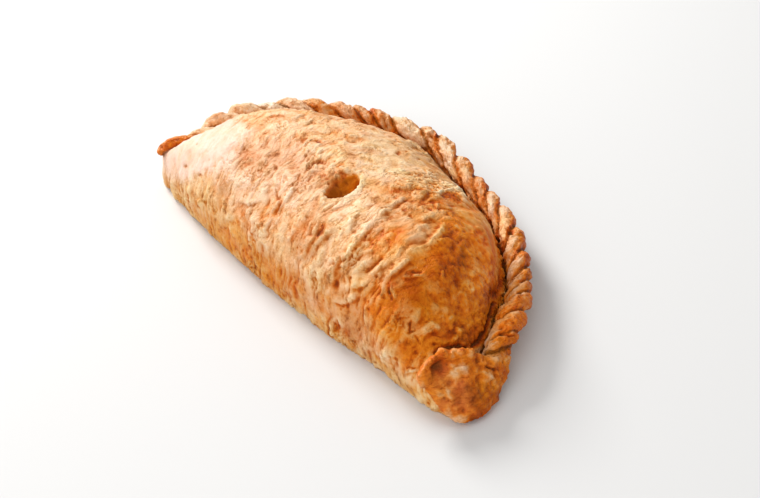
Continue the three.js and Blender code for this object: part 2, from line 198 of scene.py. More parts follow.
def ridged(p, octaves=3, seed=0):
    total, amp, norm = 0, 1.0, 0.0
    for o in range(octaves):
        total = total + amp * (1 - np.abs(noise(p * 2.1**o, seed + 7 * o)) * 1.6)
        norm += amp
        amp *= 0.5
    return total / norm


# ------------------------------------------------------------ source shapes
def tube(V):
    """Closed skin over a grid of points, rows along and columns round."""
    rows, cols, _ = V.shape
    P = np.vstack([V.reshape(-1, 3), V[0].mean(0), V[-1].mean(0)])
    i, j = np.meshgrid(np.arange(rows - 1), np.arange(cols), indexing="ij")
    k = (j + 1) % cols
    quads = np.stack([i * cols + j, i * cols + k, (i + 1) * cols + k, (i + 1) * cols + j], -1).reshape(-1, 4)
    a, b = len(P) - 2, len(P) - 1
    j = np.arange(cols)
    k = (j + 1) % cols
    caps = [np.stack([np.full(cols, a), k, j], -1),
            np.stack([np.full(cols, b), (rows - 1) * cols + j, (rows - 1) * cols + k], -1)]
    T = np.vstack([quads[:, [0, 1, 2]], quads[:, [0, 2, 3]]] + caps)
    vol = np.einsum("ij,ij->", P[T[:, 0]], np.cross(P[T[:, 1]], P[T[:, 2]]))
    if vol < 0:
        T = T[:, ::-1]
    return P, T


def case_grid(nv=520, nu=400):
    v = np.linspace(0.004, 0.996, nv)
    t = 0.5 - 0.5 * np.cos(np.pi * (0.12 * np.sin(np.pi * v) ** 2 * (0.5 - v) + v))
    front = along(FOLD, t * FOLD_LEN)
    ropeP, _, outw = rope_frame(t * ROPE_LEN)
    across = ropeP - front
    across[:, 2] = 0
    span = np.linalg.norm(across, axis=1)
    across /= span[:, None]
    square = np.maximum(0.2, np.abs((across * outw).sum(1)))
    width = np.maximum(span - np.minimum(ROPE_INSET / square, 13), 0.6)
    crest = graph(CREST, t)
    crest_at = graph(CREST_AT, t) * width
    full = graph(BACK_FULL, t)
    crease = np.minimum(graph(CREASE_HEIGHT, t), crest * 0.8)
    wall = np.minimum(WALL_HEIGHT, crest * 0.36)
    tuck = np.minimum(UNDERCUT, width * 0.25)
    narrow = np.minimum(1, width / 20)
    top = np.maximum(crease - 1, ropeP[:, 2] - 1)
    under = np.maximum(top - RIM_THICK, 1)
    reach = np.maximum(width, span - RIM_REACH)
    inner = width - BACK_TUCK * narrow
    end = np.minimum(t, 1 - t) / TIP_ROUND
    e = np.where(end < 1, np.sqrt(np.maximum(0, 1 - (1 - np.minimum(end, 1)) ** 2)), 1)
    V = np.zeros((nv, nu, 3))
    lerp = lambda a, b, x: a + (b - a) * x
    for c, u in enumerate(np.linspace(0, 1, nu, endpoint=False)):
        if u < 0.34:
            a = u / 0.34 * math.pi / 2
            w = crest_at * (1 - math.cos(a) ** (2 / 2.3))
            z = wall + (crest - wall) * math.sin(a) ** (2 / 2.1)
        elif u < 0.74:
            x = math.sin((u - 0.34) / 0.40 * math.pi / 2) ** 0.9
            w = crest_at + (width - crest_at) * x
            z = crease + (crest - crease) * (1 - x**full) ** (1 / (1 + (full - 1) * 0.55))
        elif u < 0.84:
            x = (u - 0.74) / 0.10
            if x < 0.34:
                w, z = lerp(width, reach, x / 0.34), lerp(crease, top, x / 0.34)
            elif x < 0.67:
                w, z = lerp(reach, reach - 1.5, (x - 0.34) / 0.33), lerp(top, under, (x - 0.34) / 0.33)
            else:
                w, z = lerp(reach - 1.5, inner, (x - 0.67) / 0.33), lerp(under, -BASE_SINK, (x - 0.67) / 0.33)
        elif u < 0.93:
            w, z = lerp(inner, tuck, (u - 0.84) / 0.09), -BASE_SINK + 0 * t
        else:
            x = (u - 0.93) / 0.07
            w = tuck * (1 - math.sin(x * math.pi / 2))
            z = -BASE_SINK + (wall + BASE_SINK) * (1 - math.cos(x * math.pi / 2))
        w = width / 2 + (w - width / 2) * e
        z = TIP_HEIGHT + (z - TIP_HEIGHT) * e
        V[:, c] = front + across * w[:, None]
        V[:, c, 2] = z
    return V


def strand_grid(place, run, turn_out, turn_in, half_out, half_top, thick, nv=64, nu=36):
    """One strand: up round the outside of the rope, over its top at a slant and down into the crease."""
    R = TWIST_R + thick
    at = lambda turn: place + (turn - 90) / 220 * run
    short = min(run, 16)
    pts = [[at(turn_out) - (turn_out + 30) / 220 * short, math.radians(-30) * R],
           [at(turn_out), math.radians(turn_out) * R],
           [(at(turn_out) + at(turn_in)) / 2, math.radians((turn_out + turn_in) / 2) * R],
           [at(turn_in), math.radians(turn_in) * R],
           [at(turn_in) + (200 - turn_in) / 220 * min(run, 22), math.radians(200) * R]]
    C, D = spline(pts, n=40)
    q = np.linspace(0.0, 1.0, nv)
    q = q + 0.03 * np.sin(2 * np.pi * q)
    st = along((C, D), q * D[-1])
    s, turn = st[:, 0], st[:, 1] / R
    point, fore, out = rope_frame(s)
    up = np.array([0, 0, 1.0])
    radial = out * np.cos(turn)[:, None] + up * np.sin(turn)[:, None]
    centre = point + radial * R
    heading = np.gradient(centre, axis=0)
    heading /= np.linalg.norm(heading, axis=1, keepdims=True)
    side = np.cross(heading, radial)
    side /= np.linalg.norm(side, axis=1, keepdims=True)
    bend = D[40] / D[-1]
    wide = graph(STRAND_WIDE, q) * (half_out + (half_top - half_out) * smoothstep(bend * 0.9, bend + 0.25, q))
    high = graph(STRAND_HIGH, q)
    cap = np.sqrt(np.clip(1 - (1 - np.minimum(1, np.minimum(q, 1 - q) / 0.05)) ** 2, 0.0025, 1))
    a = np.linspace(0, 2 * np.pi, nu, endpoint=False)
    depth = np.where(np.cos(a) > 0, thick, TWIST_ROOT)
    ca = np.sign(np.cos(a)) * np.abs(np.cos(a)) ** 0.85
    return (point[:, None] + radial[:, None] * (TWIST_R + (cap * high)[:, None] * depth * ca)[..., None]
            + side[:, None] * ((cap * wide)[:, None] * np.sin(a))[..., None])


def bar_grid(curve, radius, nv=60, nu=24, drop=0.0, flat=1.0):
    L = curve[1][-1]
    s = L * (0.5 - 0.5 * np.cos(np.pi * np.linspace(0.01, 0.99, nv)))
    r = radius * np.minimum(1, np.sqrt(np.minimum(s, L - s) / radius))
    c = along(curve, s)
    t = along(curve, np.clip(s + 0.3, 0, L)) - along(curve, np.clip(s - 0.3, 0, L))
    t /= np.linalg.norm(t, axis=1, keepdims=True)
    up = np.array([0, 0, 1.0])
    side = np.cross(t, up)
    side /= np.linalg.norm(side, axis=1, keepdims=True)
    top = np.cross(side, t)
    a = np.linspace(0, 2 * np.pi, nu, endpoint=False)
    return (c[:, None] - np.array([0, 0, drop]) + side[:, None] * (r[:, None] * np.cos(a))[..., None]
            + top[:, None] * (flat * r[:, None] * np.sin(a))[..., None])


def tab_grid(nu=120, nv=60):
    C, D = spline(TAB_OUTLINE, closed=True)
    mid = np.array(TAB_MIDDLE)
    u = np.linspace(0, D[-1], nu, endpoint=False)
    rim = along((C, D), u)
    rows = []
    for v in np.linspace(0.004, 0.996, nv):
        o = math.sin(math.pi * v)
        p = mid + (rim - mid) * o**0.85
        plane = mid[2] + (rim[:, 2] - mid[2]) * o
        floor = np.maximum(plane - TAB_THICK * 1.5, 0.4)
        edge = plane - (plane - floor) * 0.32
        p[:, 2] = plane + (edge - plane) * o**7 if v < 0.5 else floor + (edge - floor) * o**5
        rows.append(p)
    return np.array(rows)


def ball_grid(at, size, turn=0.0, nu=36, nv=28):
    v = np.linspace(0.02, 0.98, nv)[:, None] * np.pi
    a = np.linspace(0, 2 * np.pi, nu, endpoint=False)[None]
    x, y, z = np.sin(v) * np.cos(a) * size[0], np.sin(v) * np.sin(a) * size[1], np.cos(v) * size[2] + 0 * a
    c, s = math.cos(math.radians(turn)), math.sin(math.radians(turn))
    return np.stack([x * c - y * s + at[0], x * s + y * c + at[1], z + at[2]], -1)


CASE, CORE, TAB, FIRST, STRAND = 0, 1, 2, 3, 10
sources = [(CASE, case_grid()), (CORE, bar_grid((ROPE[0], ROPE[1]), ROPE_CORE_R, nv=260, drop=ROPE_CORE_DROP)),
           (TAB, tab_grid()), (TAB, bar_grid(spline(TAB_LIP), LIP_R)), (FIRST, ball_grid(*FIRST_FOLD))]
for n, row in enumerate(STRANDS):
    sources.append((STRAND + n, strand_grid(*row)))

points, tris, label, where = [], [], [], []
count = 0
for tag, grid in sources:
    P, T = tube(grid)
    rows, cols = grid.shape[:2]
    vv, uu = np.meshgrid(np.linspace(0, 1, rows), np.linspace(0, 1, cols, endpoint=False), indexing="ij")
    where.append(np.vstack([np.stack([vv, uu], -1).reshape(-1, 2), [[0, 0], [1, 0]]]))
    points.append(P)
    tris.append(T + count)
    label.append(np.full(len(P), tag))
    count += len(P)
points, tris, label, where = np.vstack(points), np.vstack(tris), np.concatenate(label), np.vstack(where)


def new_mesh(name, P, F):
    me = bpy.data.meshes.new(name)
    me.from_pydata([], [], [])
    me.vertices.add(len(P))
    me.vertices.foreach_set("co", np.asarray(P, np.float32).ravel())
    F = np.asarray(F)
    n = F.shape[1]
    me.loops.add(len(F) * n)
    me.loops.foreach_set("vertex_index", F.astype(np.int32).ravel())
    me.polygons.add(len(F))
    me.polygons.foreach_set("loop_start", np.arange(0, len(F) * n, n, dtype=np.int32))
    me.polygons.foreach_set("loop_total", np.full(len(F), n, dtype=np.int32))
    me.update(calc_edges=True)
    me.validate()
    return me


def get_points(me):
    P = np.zeros(len(me.vertices) * 3, np.float32)
    me.vertices.foreach_get("co", P)
    return P.reshape(-1, 3).astype(float)


# ------------------------------------------------------- one skin over them
raw = bpy.data.objects.new("crust_raw", new_mesh("crust_raw", points, tris))
bpy.context.scene.collection.objects.link(raw)
mod = raw.modifiers.new("skin", "REMESH")
mod.mode = "VOXEL"
mod.voxel_size = VOXEL
mod.adaptivity = 0.0
skin = bpy.data.meshes.new_from_object(raw.evaluated_get(bpy.context.evaluated_depsgraph_get()))
bpy.data.objects.remove(raw)
P = get_points(skin)
quads = np.zeros(len(skin.polygons) * 4, np.int32)
skin.loops.foreach_get("vertex_index", quads)
quads = quads.reshape(-1, 4)
edges = np.zeros(len(skin.edges) * 2, np.int32)
skin.edges.foreach_get("vertices", edges)
edges = edges.reshape(-1, 2)

# keep the outer skin only, without closed pockets between the strands
root = np.arange(len(P))
while True:
    low = np.minimum(root[edges[:, 0]], root[edges[:, 1]])
    new = root.copy()
    np.minimum.at(new, edges[:, 0], low)
    np.minimum.at(new, edges[:, 1], low)
    new = new[new]
    if (new == root).all():
        break
    root = new
ids, counts = np.unique(root, return_counts=True)
keep = root == ids[counts.argmax()]
remap = np.cumsum(keep) - 1
quads = remap[quads[keep[quads[:, 0]]]]
edges = remap[edges[keep[edges[:, 0]]]]
P = P[keep]
degree = np.bincount(edges.ravel(), minlength=len(P)).astype(float)


def relax(values, times, amount=0.5):
    v = np.asarray(values, float).copy()
    flat = v.reshape(len(v), -1)
    for _ in range(times):
        for c in range(flat.shape[1]):
            x = flat[:, c]
            m = np.bincount(edges[:, 0], x[edges[:, 1]], len(x)) + np.bincount(edges[:, 1], x[edges[:, 0]], len(x))
            flat[:, c] = x + amount * (m / degree - x)
    return flat.reshape(v.shape)


def normals(P):
    n = np.cross(P[quads[:, 2]] - P[quads[:, 0]], P[quads[:, 3]] - P[quads[:, 1]])
    N = np.zeros_like(P)
    for i in range(4):
        for k in range(3):
            N[:, k] += np.bincount(quads[:, i], n[:, k], len(P))
    return N / np.maximum(np.linalg.norm(N, axis=1, keepdims=True), 1e-12)


P = relax(P, 2, 0.5)
P[:, 2] = np.maximum(P[:, 2], 0.0)
N = relax(normals(P), 2)
N /= np.linalg.norm(N, axis=1, keepdims=True)

# which source shape each point lies on, and where on it
tree = kdtree.KDTree(len(points))
for i, p in enumerate(points):
    tree.insert(p, i)
tree.balance()
near = np.fromiter((tree.find(p)[1] for p in P), dtype=np.int64, count=len(P))
part, spot = label[near], where[near].copy()
round_it = relax(np.stack([np.cos(2 * np.pi * spot[:, 1]), np.sin(2 * np.pi * spot[:, 1])], -1), 4)
spot = np.stack([relax(spot[:, 0], 4), (np.arctan2(round_it[:, 1], round_it[:, 0]) / (2 * np.pi)) % 1.0], -1)
case_w = relax((part == CASE).astype(float), 3)
tab_w = relax((part == TAB).astype(float), 3)
rope_w = np.clip(1 - case_w - tab_w, 0, 1)
edge_cut = (part[edges[:, 0]] != part[edges[:, 1]]).astype(float)
seam = np.bincount(edges[:, 0], edge_cut, len(P)) + np.bincount(edges[:, 1], edge_cut, len(P))
seam = np.clip(relax(np.minimum(seam, 1.0), 3) * 1.5, 0, 1)
strand_gap_shade = np.clip(relax(seam, 14) * 1.8, 0, 1)


def to_image(P):
    q = P - CAM_AT
    z = q @ CAM_FWD
    return np.stack([MID_X + FOCAL * (q @ CAM_RIGHT) / z, MID_Y - FOCAL * (q @ CAM_UP) / z], -1)


uv = to_image(P)
facing = ((CAM_AT - P) / np.linalg.norm(CAM_AT - P, axis=1, keepdims=True) * N).sum(1)
seen = smoothstep(0.02, 0.22, facing)
on_dome = seen * case_w
on_tab = seen * tab_w
on_rope = seen * rope_w
height = np.zeros(len(P))     # mm along the normal
brown_and_shade = np.zeros(len(P))       # darker bake, and painted shade in pits, cracks, the vent, the crease and beside folds
gold = np.zeros(len(P))       # yellower
gloss = np.zeros(len(P))      # egg wash
wob = np.stack([fbm(P / 3.0, 2, 61) + 1.1 * fbm(P / 1.35, 2, 63), fbm(P / 3.0, 2, 62) + 1.1 * fbm(P / 1.35, 2, 64)], -1)
rag = 0.75 + 0.9 * fbm(P / 2.0, 2, 65)


def line(pts):
    """Distance in view pixels to a line of points, its side (left of travel is positive) and the place along it."""
    L = np.asarray(pts, float)
    seg = np.diff(L, axis=0)
    lens = np.linalg.norm(seg, axis=1)
    acc = np.r_[0, np.cumsum(lens)]
    best, side, pos = np.full(len(uv), 1e9), np.zeros(len(uv)), np.zeros(len(uv))
    lo, hi = L.min(0) - 25, L.max(0) + 25
    box = np.flatnonzero(((uv > lo) & (uv < hi)).all(1) & (facing > 0))
    q = uv[box] + 0.9 * wob[box]
    for i in range(len(seg)):
        r = q - L[i]
        t = np.clip((r @ seg[i]) / lens[i] ** 2, 0, 1)
        d = np.linalg.norm(r - t[:, None] * seg[i], axis=1)
        m = d < best[box]
        cr = seg[i][0] * r[:, 1] - seg[i][1] * r[:, 0]
        k = box[m]
        best[k], side[k], pos[k] = d[m], -np.sign(cr[m]), (acc[i] + t[m] * lens[i]) / acc[-1]
    return best, side, pos


def ends(t, a, b):
    return smoothstep(0, a, t) * smoothstep(0, b, 1 - t)


def ridge(pts, width, rise, dark=0.0, mask=None, taper=(0.3, 0.3)):
    global height, brown_and_shade
    rise = rise * 1.6
    d, s, t = line(pts)
    m = (on_dome if mask is None else mask) * ends(t, *taper) * rag
    if rise > 0 and mask is None:        # a fold that leans: long slope on one side, short on the other
        g = np.where(s > 0, np.exp(-np.abs(d / (2.1 * width)) ** 1.6), np.exp(-np.abs(d / (0.85 * width)) ** 1.8)) * m
    else:
        g = np.exp(-np.abs(d / width) ** 1.5) * m
    height += rise * g
    brown_and_shade += dark * g
    # painted shade: a darker strip along the lower-right side of a raised fold, where its shadow falls
    if rise > 0.3 and mask is None:
        brown_and_shade += 0.20 * rise * np.exp(-((d * s + 1.7 * width) / (0.8 * width)) ** 2) * m


def flake(pts, rise, back=7.0, front=1.1, dark=0.25, mask=None, taper=(0.25, 0.25)):
    """A torn layer's edge: it stands up on the left of the line, sinks back over some pixels, and drops at once on the
    right, where the crust below the drop is darkened as painted shade.
    """
    global height, brown_and_shade
    d, s, t = line(pts)
    sd = d * s
    e = ends(t, *taper) * (on_dome if mask is None else mask)
    g = np.where(sd >= 0, np.exp(-(sd / back) ** 2), np.exp(-(sd / front) ** 2)) * e
    under = np.exp(-((sd + 2.0 * front) / (1.3 * front)) ** 2) * e
    height += rise * g - 0.45 * rise * under
    brown_and_shade += dark * under - 0.05 * g


def bump(at, size, rise, dark=0.0, squash=1.0, angle=0.0, power=2.0, mask=None, rim=0.0):
    """A round swelling or pit, angle turned clockwise in the view, with an optional raised rim."""
    global height, brown_and_shade
    c, s = math.cos(math.radians(angle)), math.sin(math.radians(angle))
    r = uv + 0.6 * wob - np.asarray(at, float)
    x, y = r[:, 0] * c + r[:, 1] * s, (-r[:, 0] * s + r[:, 1] * c) / squash
    e = np.sqrt(x * x + y * y) / size
    m = on_dome if mask is None else mask
    g = np.exp(-e**power) * m
    height += rise * g + rim * np.exp(-((e - 1.35) / 0.3) ** 2) * m
    brown_and_shade += dark * g


def patch(at, size, squash=1.0, angle=0.0, soft=0.35):
    """A soft-edged oval region of the view, 1 inside."""
    c, s = math.cos(math.radians(angle)), math.sin(math.radians(angle))
    r = uv + 6.0 * fbm_warp - np.asarray(at, float)
    x, y = r[:, 0] * c + r[:, 1] * s, (-r[:, 0] * s + r[:, 1] * c) / squash
    e = np.sqrt(x * x + y * y) / size
    return 1 - smoothstep(1 - soft, 1 + soft, e)


fbm_warp = np.stack([fbm(P / 14.0, 2, 71), fbm(P / 14.0, 2, 72)], -1)


def cells(p, seed=0):
    """Distance to the nearest of one random point in each unit cell, and that point's own random number."""
    p = np.asarray(p, float)
    f = np.floor(p).astype(np.int64)
    best, own = np.full(len(p), 9.0), np.zeros(len(p))
    for dx in (-1, 0, 1):
        for dy in (-1, 0, 1):
            for dz in (-1, 0, 1):
                g = f + (dx, dy, dz)
                h = _hash(g[:, 0] + seed * 31, g[:, 1], g[:, 2])
                o = np.stack([_PERM[h], _PERM[(h + 85) & 255], _PERM[(h + 170) & 255]], -1) / 255.0
                d = np.linalg.norm(g + o - p, axis=1)
                m = d < best
                best[m], own[m] = d[m], _PERM[(h[m] + 33) & 255] / 255.0
    return best, own


# ---------------------------------------------------------- uneven crust
# along the pasty and round its section, in mm
grid = sources[0][1]
arc = np.cumsum(np.linalg.norm(np.diff(grid, axis=1, prepend=grid[:, :1]), axis=2), axis=1)
vv, uu = spot[:, 0] * (grid.shape[0] - 1), spot[:, 1] * grid.shape[1]
iv, iu = np.clip(vv.astype(int), 0, grid.shape[0] - 2), np.clip(uu.astype(int), 0, grid.shape[1] - 2)
fv, fu = vv - iv, uu - iu
b_mm = ((arc[iv, iu] * (1 - fu) + arc[iv, iu + 1] * fu) * (1 - fv) + (arc[iv + 1, iu] * (1 - fu) + arc[iv + 1, iu + 1] * fu) * fv)
b_mm = np.where(spot[:, 1] < 0.88, b_mm, b_mm - arc[iv, -1])
tt = 0.5 - 0.5 * np.cos(np.pi * (0.12 * np.sin(np.pi * spot[:, 0]) ** 2 * (0.5 - spot[:, 0]) + spot[:, 0]))
a_mm = tt * 200.0

glossy = patch((467, 278), 62, 0.52, 90) * case_w               # smooth dark dome over the folded end
# the highlit left end: its paler, pinker colour below is a painted highlight; the mask also calms the texture there
highlit_end = patch((200, 146), 44, 0.60, -25) * case_w
rough = smoothstep(-0.30, 0.35, fbm(P / 20.0, 2, 31)) * (1 - 0.75 * glossy) * (1 - 0.6 * highlit_end)
flat_q = np.stack([a_mm, b_mm, 0 * a_mm], -1)
lean = 0.30 * fbm(P / 26.0, 2, 14) * 14
warp = np.stack([fbm(P / 9.0, 2, 11), fbm(P / 9.0, 2, 12), 0 * a_mm], -1)
q1 = flat_q + 2.6 * warp + np.stack([lean, 0 * lean, 0 * lean], -1)
w1 = ridged(q1 * (1 / 5.2, 1 / 15.0, 1), 2, 21)
w2 = ridged(q1 * (1 / 2.5, 1 / 7.0, 1), 2, 23)
w3 = noise(q1 * (1 / 1.35, 1 / 3.2, 1), 25)
w4 = ridged(q1 * (1 / 1.7, 1 / 4.4, 1), 2, 26)
soft = 1.5 * fbm(P / 30.0, 2, 1) + 0.9 * fbm(P / 12.0, 2, 2) + 0.5 * fbm(P / 6.0, 2, 3)
grain = fbm(P / 1.5, 2, 4)
grain2 = fbm(P / 0.95, 2, 5)
height += case_w * (0.8 * soft + (1.15 * (0.5 - w1) + 0.46 * (w2 - 0.5) + 0.26 * (0.5 - w4)) * (0.16 + 0.84 * rough)
                    + 0.20 * w3 * (0.3 + 0.7 * rough) + 0.12 * grain * (0.6 + 0.4 * rough) + 0.06 * grain2)
# the dome sinks into a wider crease along the rope's right half
by = np.flatnonzero((case_w > 0.02) & (P[:, 0] > 15) & (P[:, 1] > -48))
stations = np.linspace(165, 252, 44)
gap = np.linalg.norm(P[by, None] - along(ROPE, stations)[None], axis=2)
at_s = stations[gap.argmin(1)]
gap = gap.min(1)
there = smoothstep(174, 198, at_s) * (1 - smoothstep(226, 246, at_s)) * case_w[by]
height[by] += (-1.6 * np.exp(-((gap - 9.0) / 4.2) ** 2) + 0.7 * (1 - smoothstep(5.6, 7.4, gap)) * (1 + 2.0 * fbm(P[by] / 1.5, 2, 68))) * there
in_crease = np.zeros(len(P))
in_crease[by] = (1 - smoothstep(6.5, 9.5, gap)) * there
height += glossy * (0.50 * fbm(P / 3.4, 2, 92) + 0.26 * grain)
# worn edges of thin layers
lay = fbm(q1 * (1 / 10.0, 1 / 15.0, 1) + 0.0, 5, 41, 0.55)
lay_n = lay * 6.0
frac = lay_n - np.floor(lay_n)
terr = np.floor(lay_n) + smoothstep(0.0, 0.22, frac) - lay_n
flaky = smoothstep(0.05, 0.45, fbm(P / 17.0, 2, 51)) * (1 - 0.8 * glossy) * (1 - 0.8 * highlit_end) * case_w
height += 0.80 * terr * flaky
layer_edge = np.exp(-((frac - 0.05) / 0.08) ** 2) * flaky
# blisters and pinholes
d1, r1 = cells(P / 6.5, 1)
blister = np.clip(1 - (d1 / (0.16 + 0.22 * r1)) ** 2, 0, 1) * (r1 > 0.45)
d2, r2 = cells(P / 3.1, 2)
hole = np.clip(1 - (d2 / (0.10 + 0.16 * r2)) ** 2, 0, 1) * (r2 > 0.55)
height += case_w * (0.27 * blister**0.8 * (0.4 + 0.6 * rough) - 0.42 * hole * (0.3 + 0.7 * rough))

# the crimp: creases along each strand, soft dents and a few blisters
along_q = np.stack([spot[:, 0] * 9.0, round_it[:, 0] * 1.8, round_it[:, 1] * 1.8 + part * 7.3], -1)
str_w = (part >= STRAND) * 1.0
str_w = relax(str_w, 2)
height += rope_w * (0.95 * fbm(P / 5.0, 2, 6) + 0.16 * grain + 0.38 * fbm(P / 2.4, 2, 7) + 0.30 * blister
                    - 0.35 * hole) + str_w * (0.50 * (0.5 - ridged(along_q * (0.35, 1.0, 1), 2, 27)) + 0.35 * noise(along_q * (1.6, 0.8, 1), 29))
lip_d, _, _ = line([(424, 389), (421, 378), (425, 367), (432, 359), (441, 354), (458, 352), (476, 353)])
lip = np.exp(-(lip_d / 6.5) ** 2) * tab_w
height += tab_w * (1 - 0.65 * lip) * (1.4 * fbm(P / 7.0, 2, 8) + 0.75 * fbm(P / 3.2, 2, 9) + 0.45 * (0.5 - ridged(P / 4.2, 2, 28)) + 0.20 * grain - 0.4 * hole)
height -= 0.55 * seam * (1 - 0.3 * case_w)

# ------------------------------------------------------------- the vent
# a torn hollow: a long slope down from the far side, a steep near wall under a sharp lip
c, s = math.cos(math.radians(-31)), math.sin(math.radians(-31))
r = uv + 1.3 * wob - (342.0, 185.0)
x, y = r[:, 0] * c + r[:, 1] * s, -r[:, 0] * s + r[:, 1] * c
chord = np.sqrt(np.clip(1 - (x / 20.0) ** 2, 0, 1))
yn = np.where(y > 0, y / (11.3 * chord + 1e-3), y / (11.0 * chord + 1e-3))
down = np.clip((1 + yn) / 1.6, 0, 1) ** 1.25 * (1 - np.clip((yn - 0.6) / 0.4, 0, 1) ** 2.2) * (np.abs(yn) < 1) * chord**0.6
e = np.sqrt((x / 20.0) ** 2 + (np.where(y > 0, y / 11.3, y / 11.0)) ** 2)
vent_m = seen * case_w
height = height * (1 - 0.75 * smoothstep(0.0, 0.4, 1.15 - e) * vent_m)
height += (-6.4 * down + 0.32 * np.exp(-((e - 1.14) / 0.16) ** 2) * smoothstep(-0.1, 0.5, y / 9.0)) * vent_m
in_vent = smoothstep(0.02, 0.25, down) * vent_m
vent_rim = np.exp(-((e - 1.12) / 0.2) ** 2) * vent_m
# painted shade: the vent's hollow is darkened, most of all deep down
brown_and_shade += 0.44 * in_vent + 0.22 * smoothstep(0.4, 0.95, down) * vent_m

# ------------------------------------------------- folds, tears and blisters
for row in (
    # little ridges and folds over the dome: line, width px, rise mm, darker
    ([(240, 164), (247, 161), (254, 158)], 2.2, 0.50, -0.04), ([(262, 196), (266, 188), (267, 180)], 1.7, 0.45, 0.0),
    ([(268, 215), (275, 206), (279, 198)], 2.0, 0.50, 0.0), ([(283, 203), (291, 193), (298, 184)], 2.0, 0.45, -0.03),
    ([(255, 186), (262, 178)], 1.6, 0.40, 0.0), ([(299, 262), (305, 248), (315, 234), (328, 221)], 2.4, 0.60, -0.04),
    ([(310, 252), (320, 240), (334, 228)], 2.0, 0.50, -0.04), ([(283, 246), (290, 236), (300, 222), (310, 212)], 2.6, 0.50, -0.04),
    ([(347, 226), (352, 219), (362, 210)], 2.2, 0.50, 0.0), ([(331, 288), (331, 274), (336, 261), (341, 252)], 2.6, 0.75, -0.06),
    ([(343, 272), (346, 260), (352, 248), (358, 239), (366, 229), (376, 221)], 2.4, 0.85, -0.06),
    ([(366, 277), (373, 271), (381, 265), (389, 262)], 1.8, 0.55, 0.0),
    ([(383, 283), (387, 277), (394, 272), (401, 266), (408, 261), (415, 258)], 2.3, 0.95, -0.05),
    ([(384, 282), (383, 290), (381, 298)], 1.6, 0.50, -0.03), ([(390, 281), (392, 292), (396, 301)], 1.5, 0.50, -0.03),
    ([(401, 275.5), (409, 277.5), (417, 276.5), (425, 275.5)], 1.2, 0.65, -0.12), ([(442, 268), (440.5, 280)], 1.0, 0.60, -0.10),
    ([(447, 219), (443, 226), (437, 234), (430, 243), (425, 251)], 2.2, 0.65, -0.04),
    ([(433, 241), (425, 246), (415, 249), (405, 250)], 1.8, 0.40, -0.02), ([(431, 225), (421, 226), (412, 229)], 2.0, 0.50, -0.04),
    ([(436, 201), (438, 194), (446, 190.5), (455, 193), (463, 200), (468, 207)], 2.8, 0.90, -0.24),
    ([(385, 189), (395, 187), (405, 188), (414, 190)], 2.2, 0.60, 0.08), ([(413, 203), (421, 196), (431, 190)], 2.4, 0.70, 0.08),
    ([(401, 216), (405, 209), (413, 205)], 2.0, 0.60, 0.10), ([(420, 222), (430, 217), (440, 216)], 2.0, 0.50, 0.04),
    ([(425, 209), (433, 205), (441, 207)], 2.0, 0.50, 0.05), ([(372, 215), (383, 212), (393, 205), (401, 200)], 2.2, 0.50, 0.0),
    ([(341, 137), (355, 137), (372, 140)], 1.5, 0.32, 0.0), ([(350, 149), (365, 147), (380, 150), (392, 156)], 1.8, 0.35, 0.0),
    ([(408, 142), (418, 146), (426, 152)], 1.6, 0.50, -0.04), ([(430, 160), (441, 170), (452, 181)], 1.5, 0.45, 0.0),
    ([(421, 336), (426, 331), (434, 328), (443, 327)], 3.0, 0.90, -0.03), ([(460, 323), (458, 331), (455, 338), (448, 342)], 2.2, 0.85, -0.06),
    ([(413, 326), (418, 316), (420, 306)], 2.4, 0.50, -0.04), ([(350, 285), (358, 287), (366, 284)], 1.8, 0.60, -0.08),
    ([(334, 316), (331, 323), (332, 331), (337, 337)], 1.8, 0.90, -0.10), ([(334, 316), (340, 320), (342, 328), (340, 336)], 1.6, 0.50, -0.04),
    ([(405, 372), (412, 370), (420, 371)], 1.5, 0.50, -0.08), ([(385, 345), (384, 356), (386, 366)], 1.8, 0.40, -0.03),
    ([(350, 320), (352, 331), (350, 340)], 2.2, 0.35, 0.06), ([(168, 172), (170, 180), (173, 188)], 1.8, 0.40, -0.03),
    ([(188, 184), (190, 195), (194, 206)], 1.8, 0.40, 0.0), ([(200, 198), (201, 207)], 1.8, 0.40, 0.0),
    ([(222, 196), (224, 206), (223, 214)], 2.0, 0.40, 0.0), ([(238, 212), (242, 224), (243, 232)], 1.8, 0.40, 0.0),
    ([(229, 222), (232, 232), (236, 240)], 1.8, 0.35, 0.0), ([(262, 236), (266, 248), (267, 258)], 2.2, 0.35, 0.0),
    ([(250, 205), (247, 216), (250, 226)], 2.2, 0.35, 0.0), ([(296, 280), (298, 292), (301, 302)], 2.0, 0.35, 0.0),
    # grooves and cracks
    ([(315, 237), (320, 231), (326, 223)], 2.1, -0.56, 0.11), ([(362, 275), (367, 270), (373, 265), (380, 259), (387, 255)], 1.5, -0.68, 0.16),
    ([(408, 270.5), (415, 272), (424, 274)], 1.5, -0.80, 0.21), ([(338, 141), (352, 142), (366, 143)], 1.8, -0.24, 0.01),
    ([(411, 145), (420, 149), (426, 156)], 1.6, -0.48, 0.11), ([(411, 318), (410, 326), (409, 333)], 1.3, -0.64, 0.19),
    ([(404, 334), (410, 332), (417, 330)], 1.1, -0.56, 0.17), ([(414, 335), (418, 340), (422, 345)], 1.3, -0.56, 0.17),
    ([(392, 302), (389, 294), (387, 287)], 1.1, -0.56, 0.15), ([(383, 300), (385, 293)], 1.1, -0.40, 0.11),
    ([(394, 354), (396, 361), (397, 369)], 1.4, -0.64, 0.16), ([(405, 369), (411, 367.5), (418, 369)], 1.1, -0.48, 0.14),
    ([(300, 255), (309, 242), (318, 229)], 1.7, -0.32, 0.03), ([(395, 208), (402, 202), (411, 198)], 1.6, -0.36, 0.05),
):
    ridge(*row)
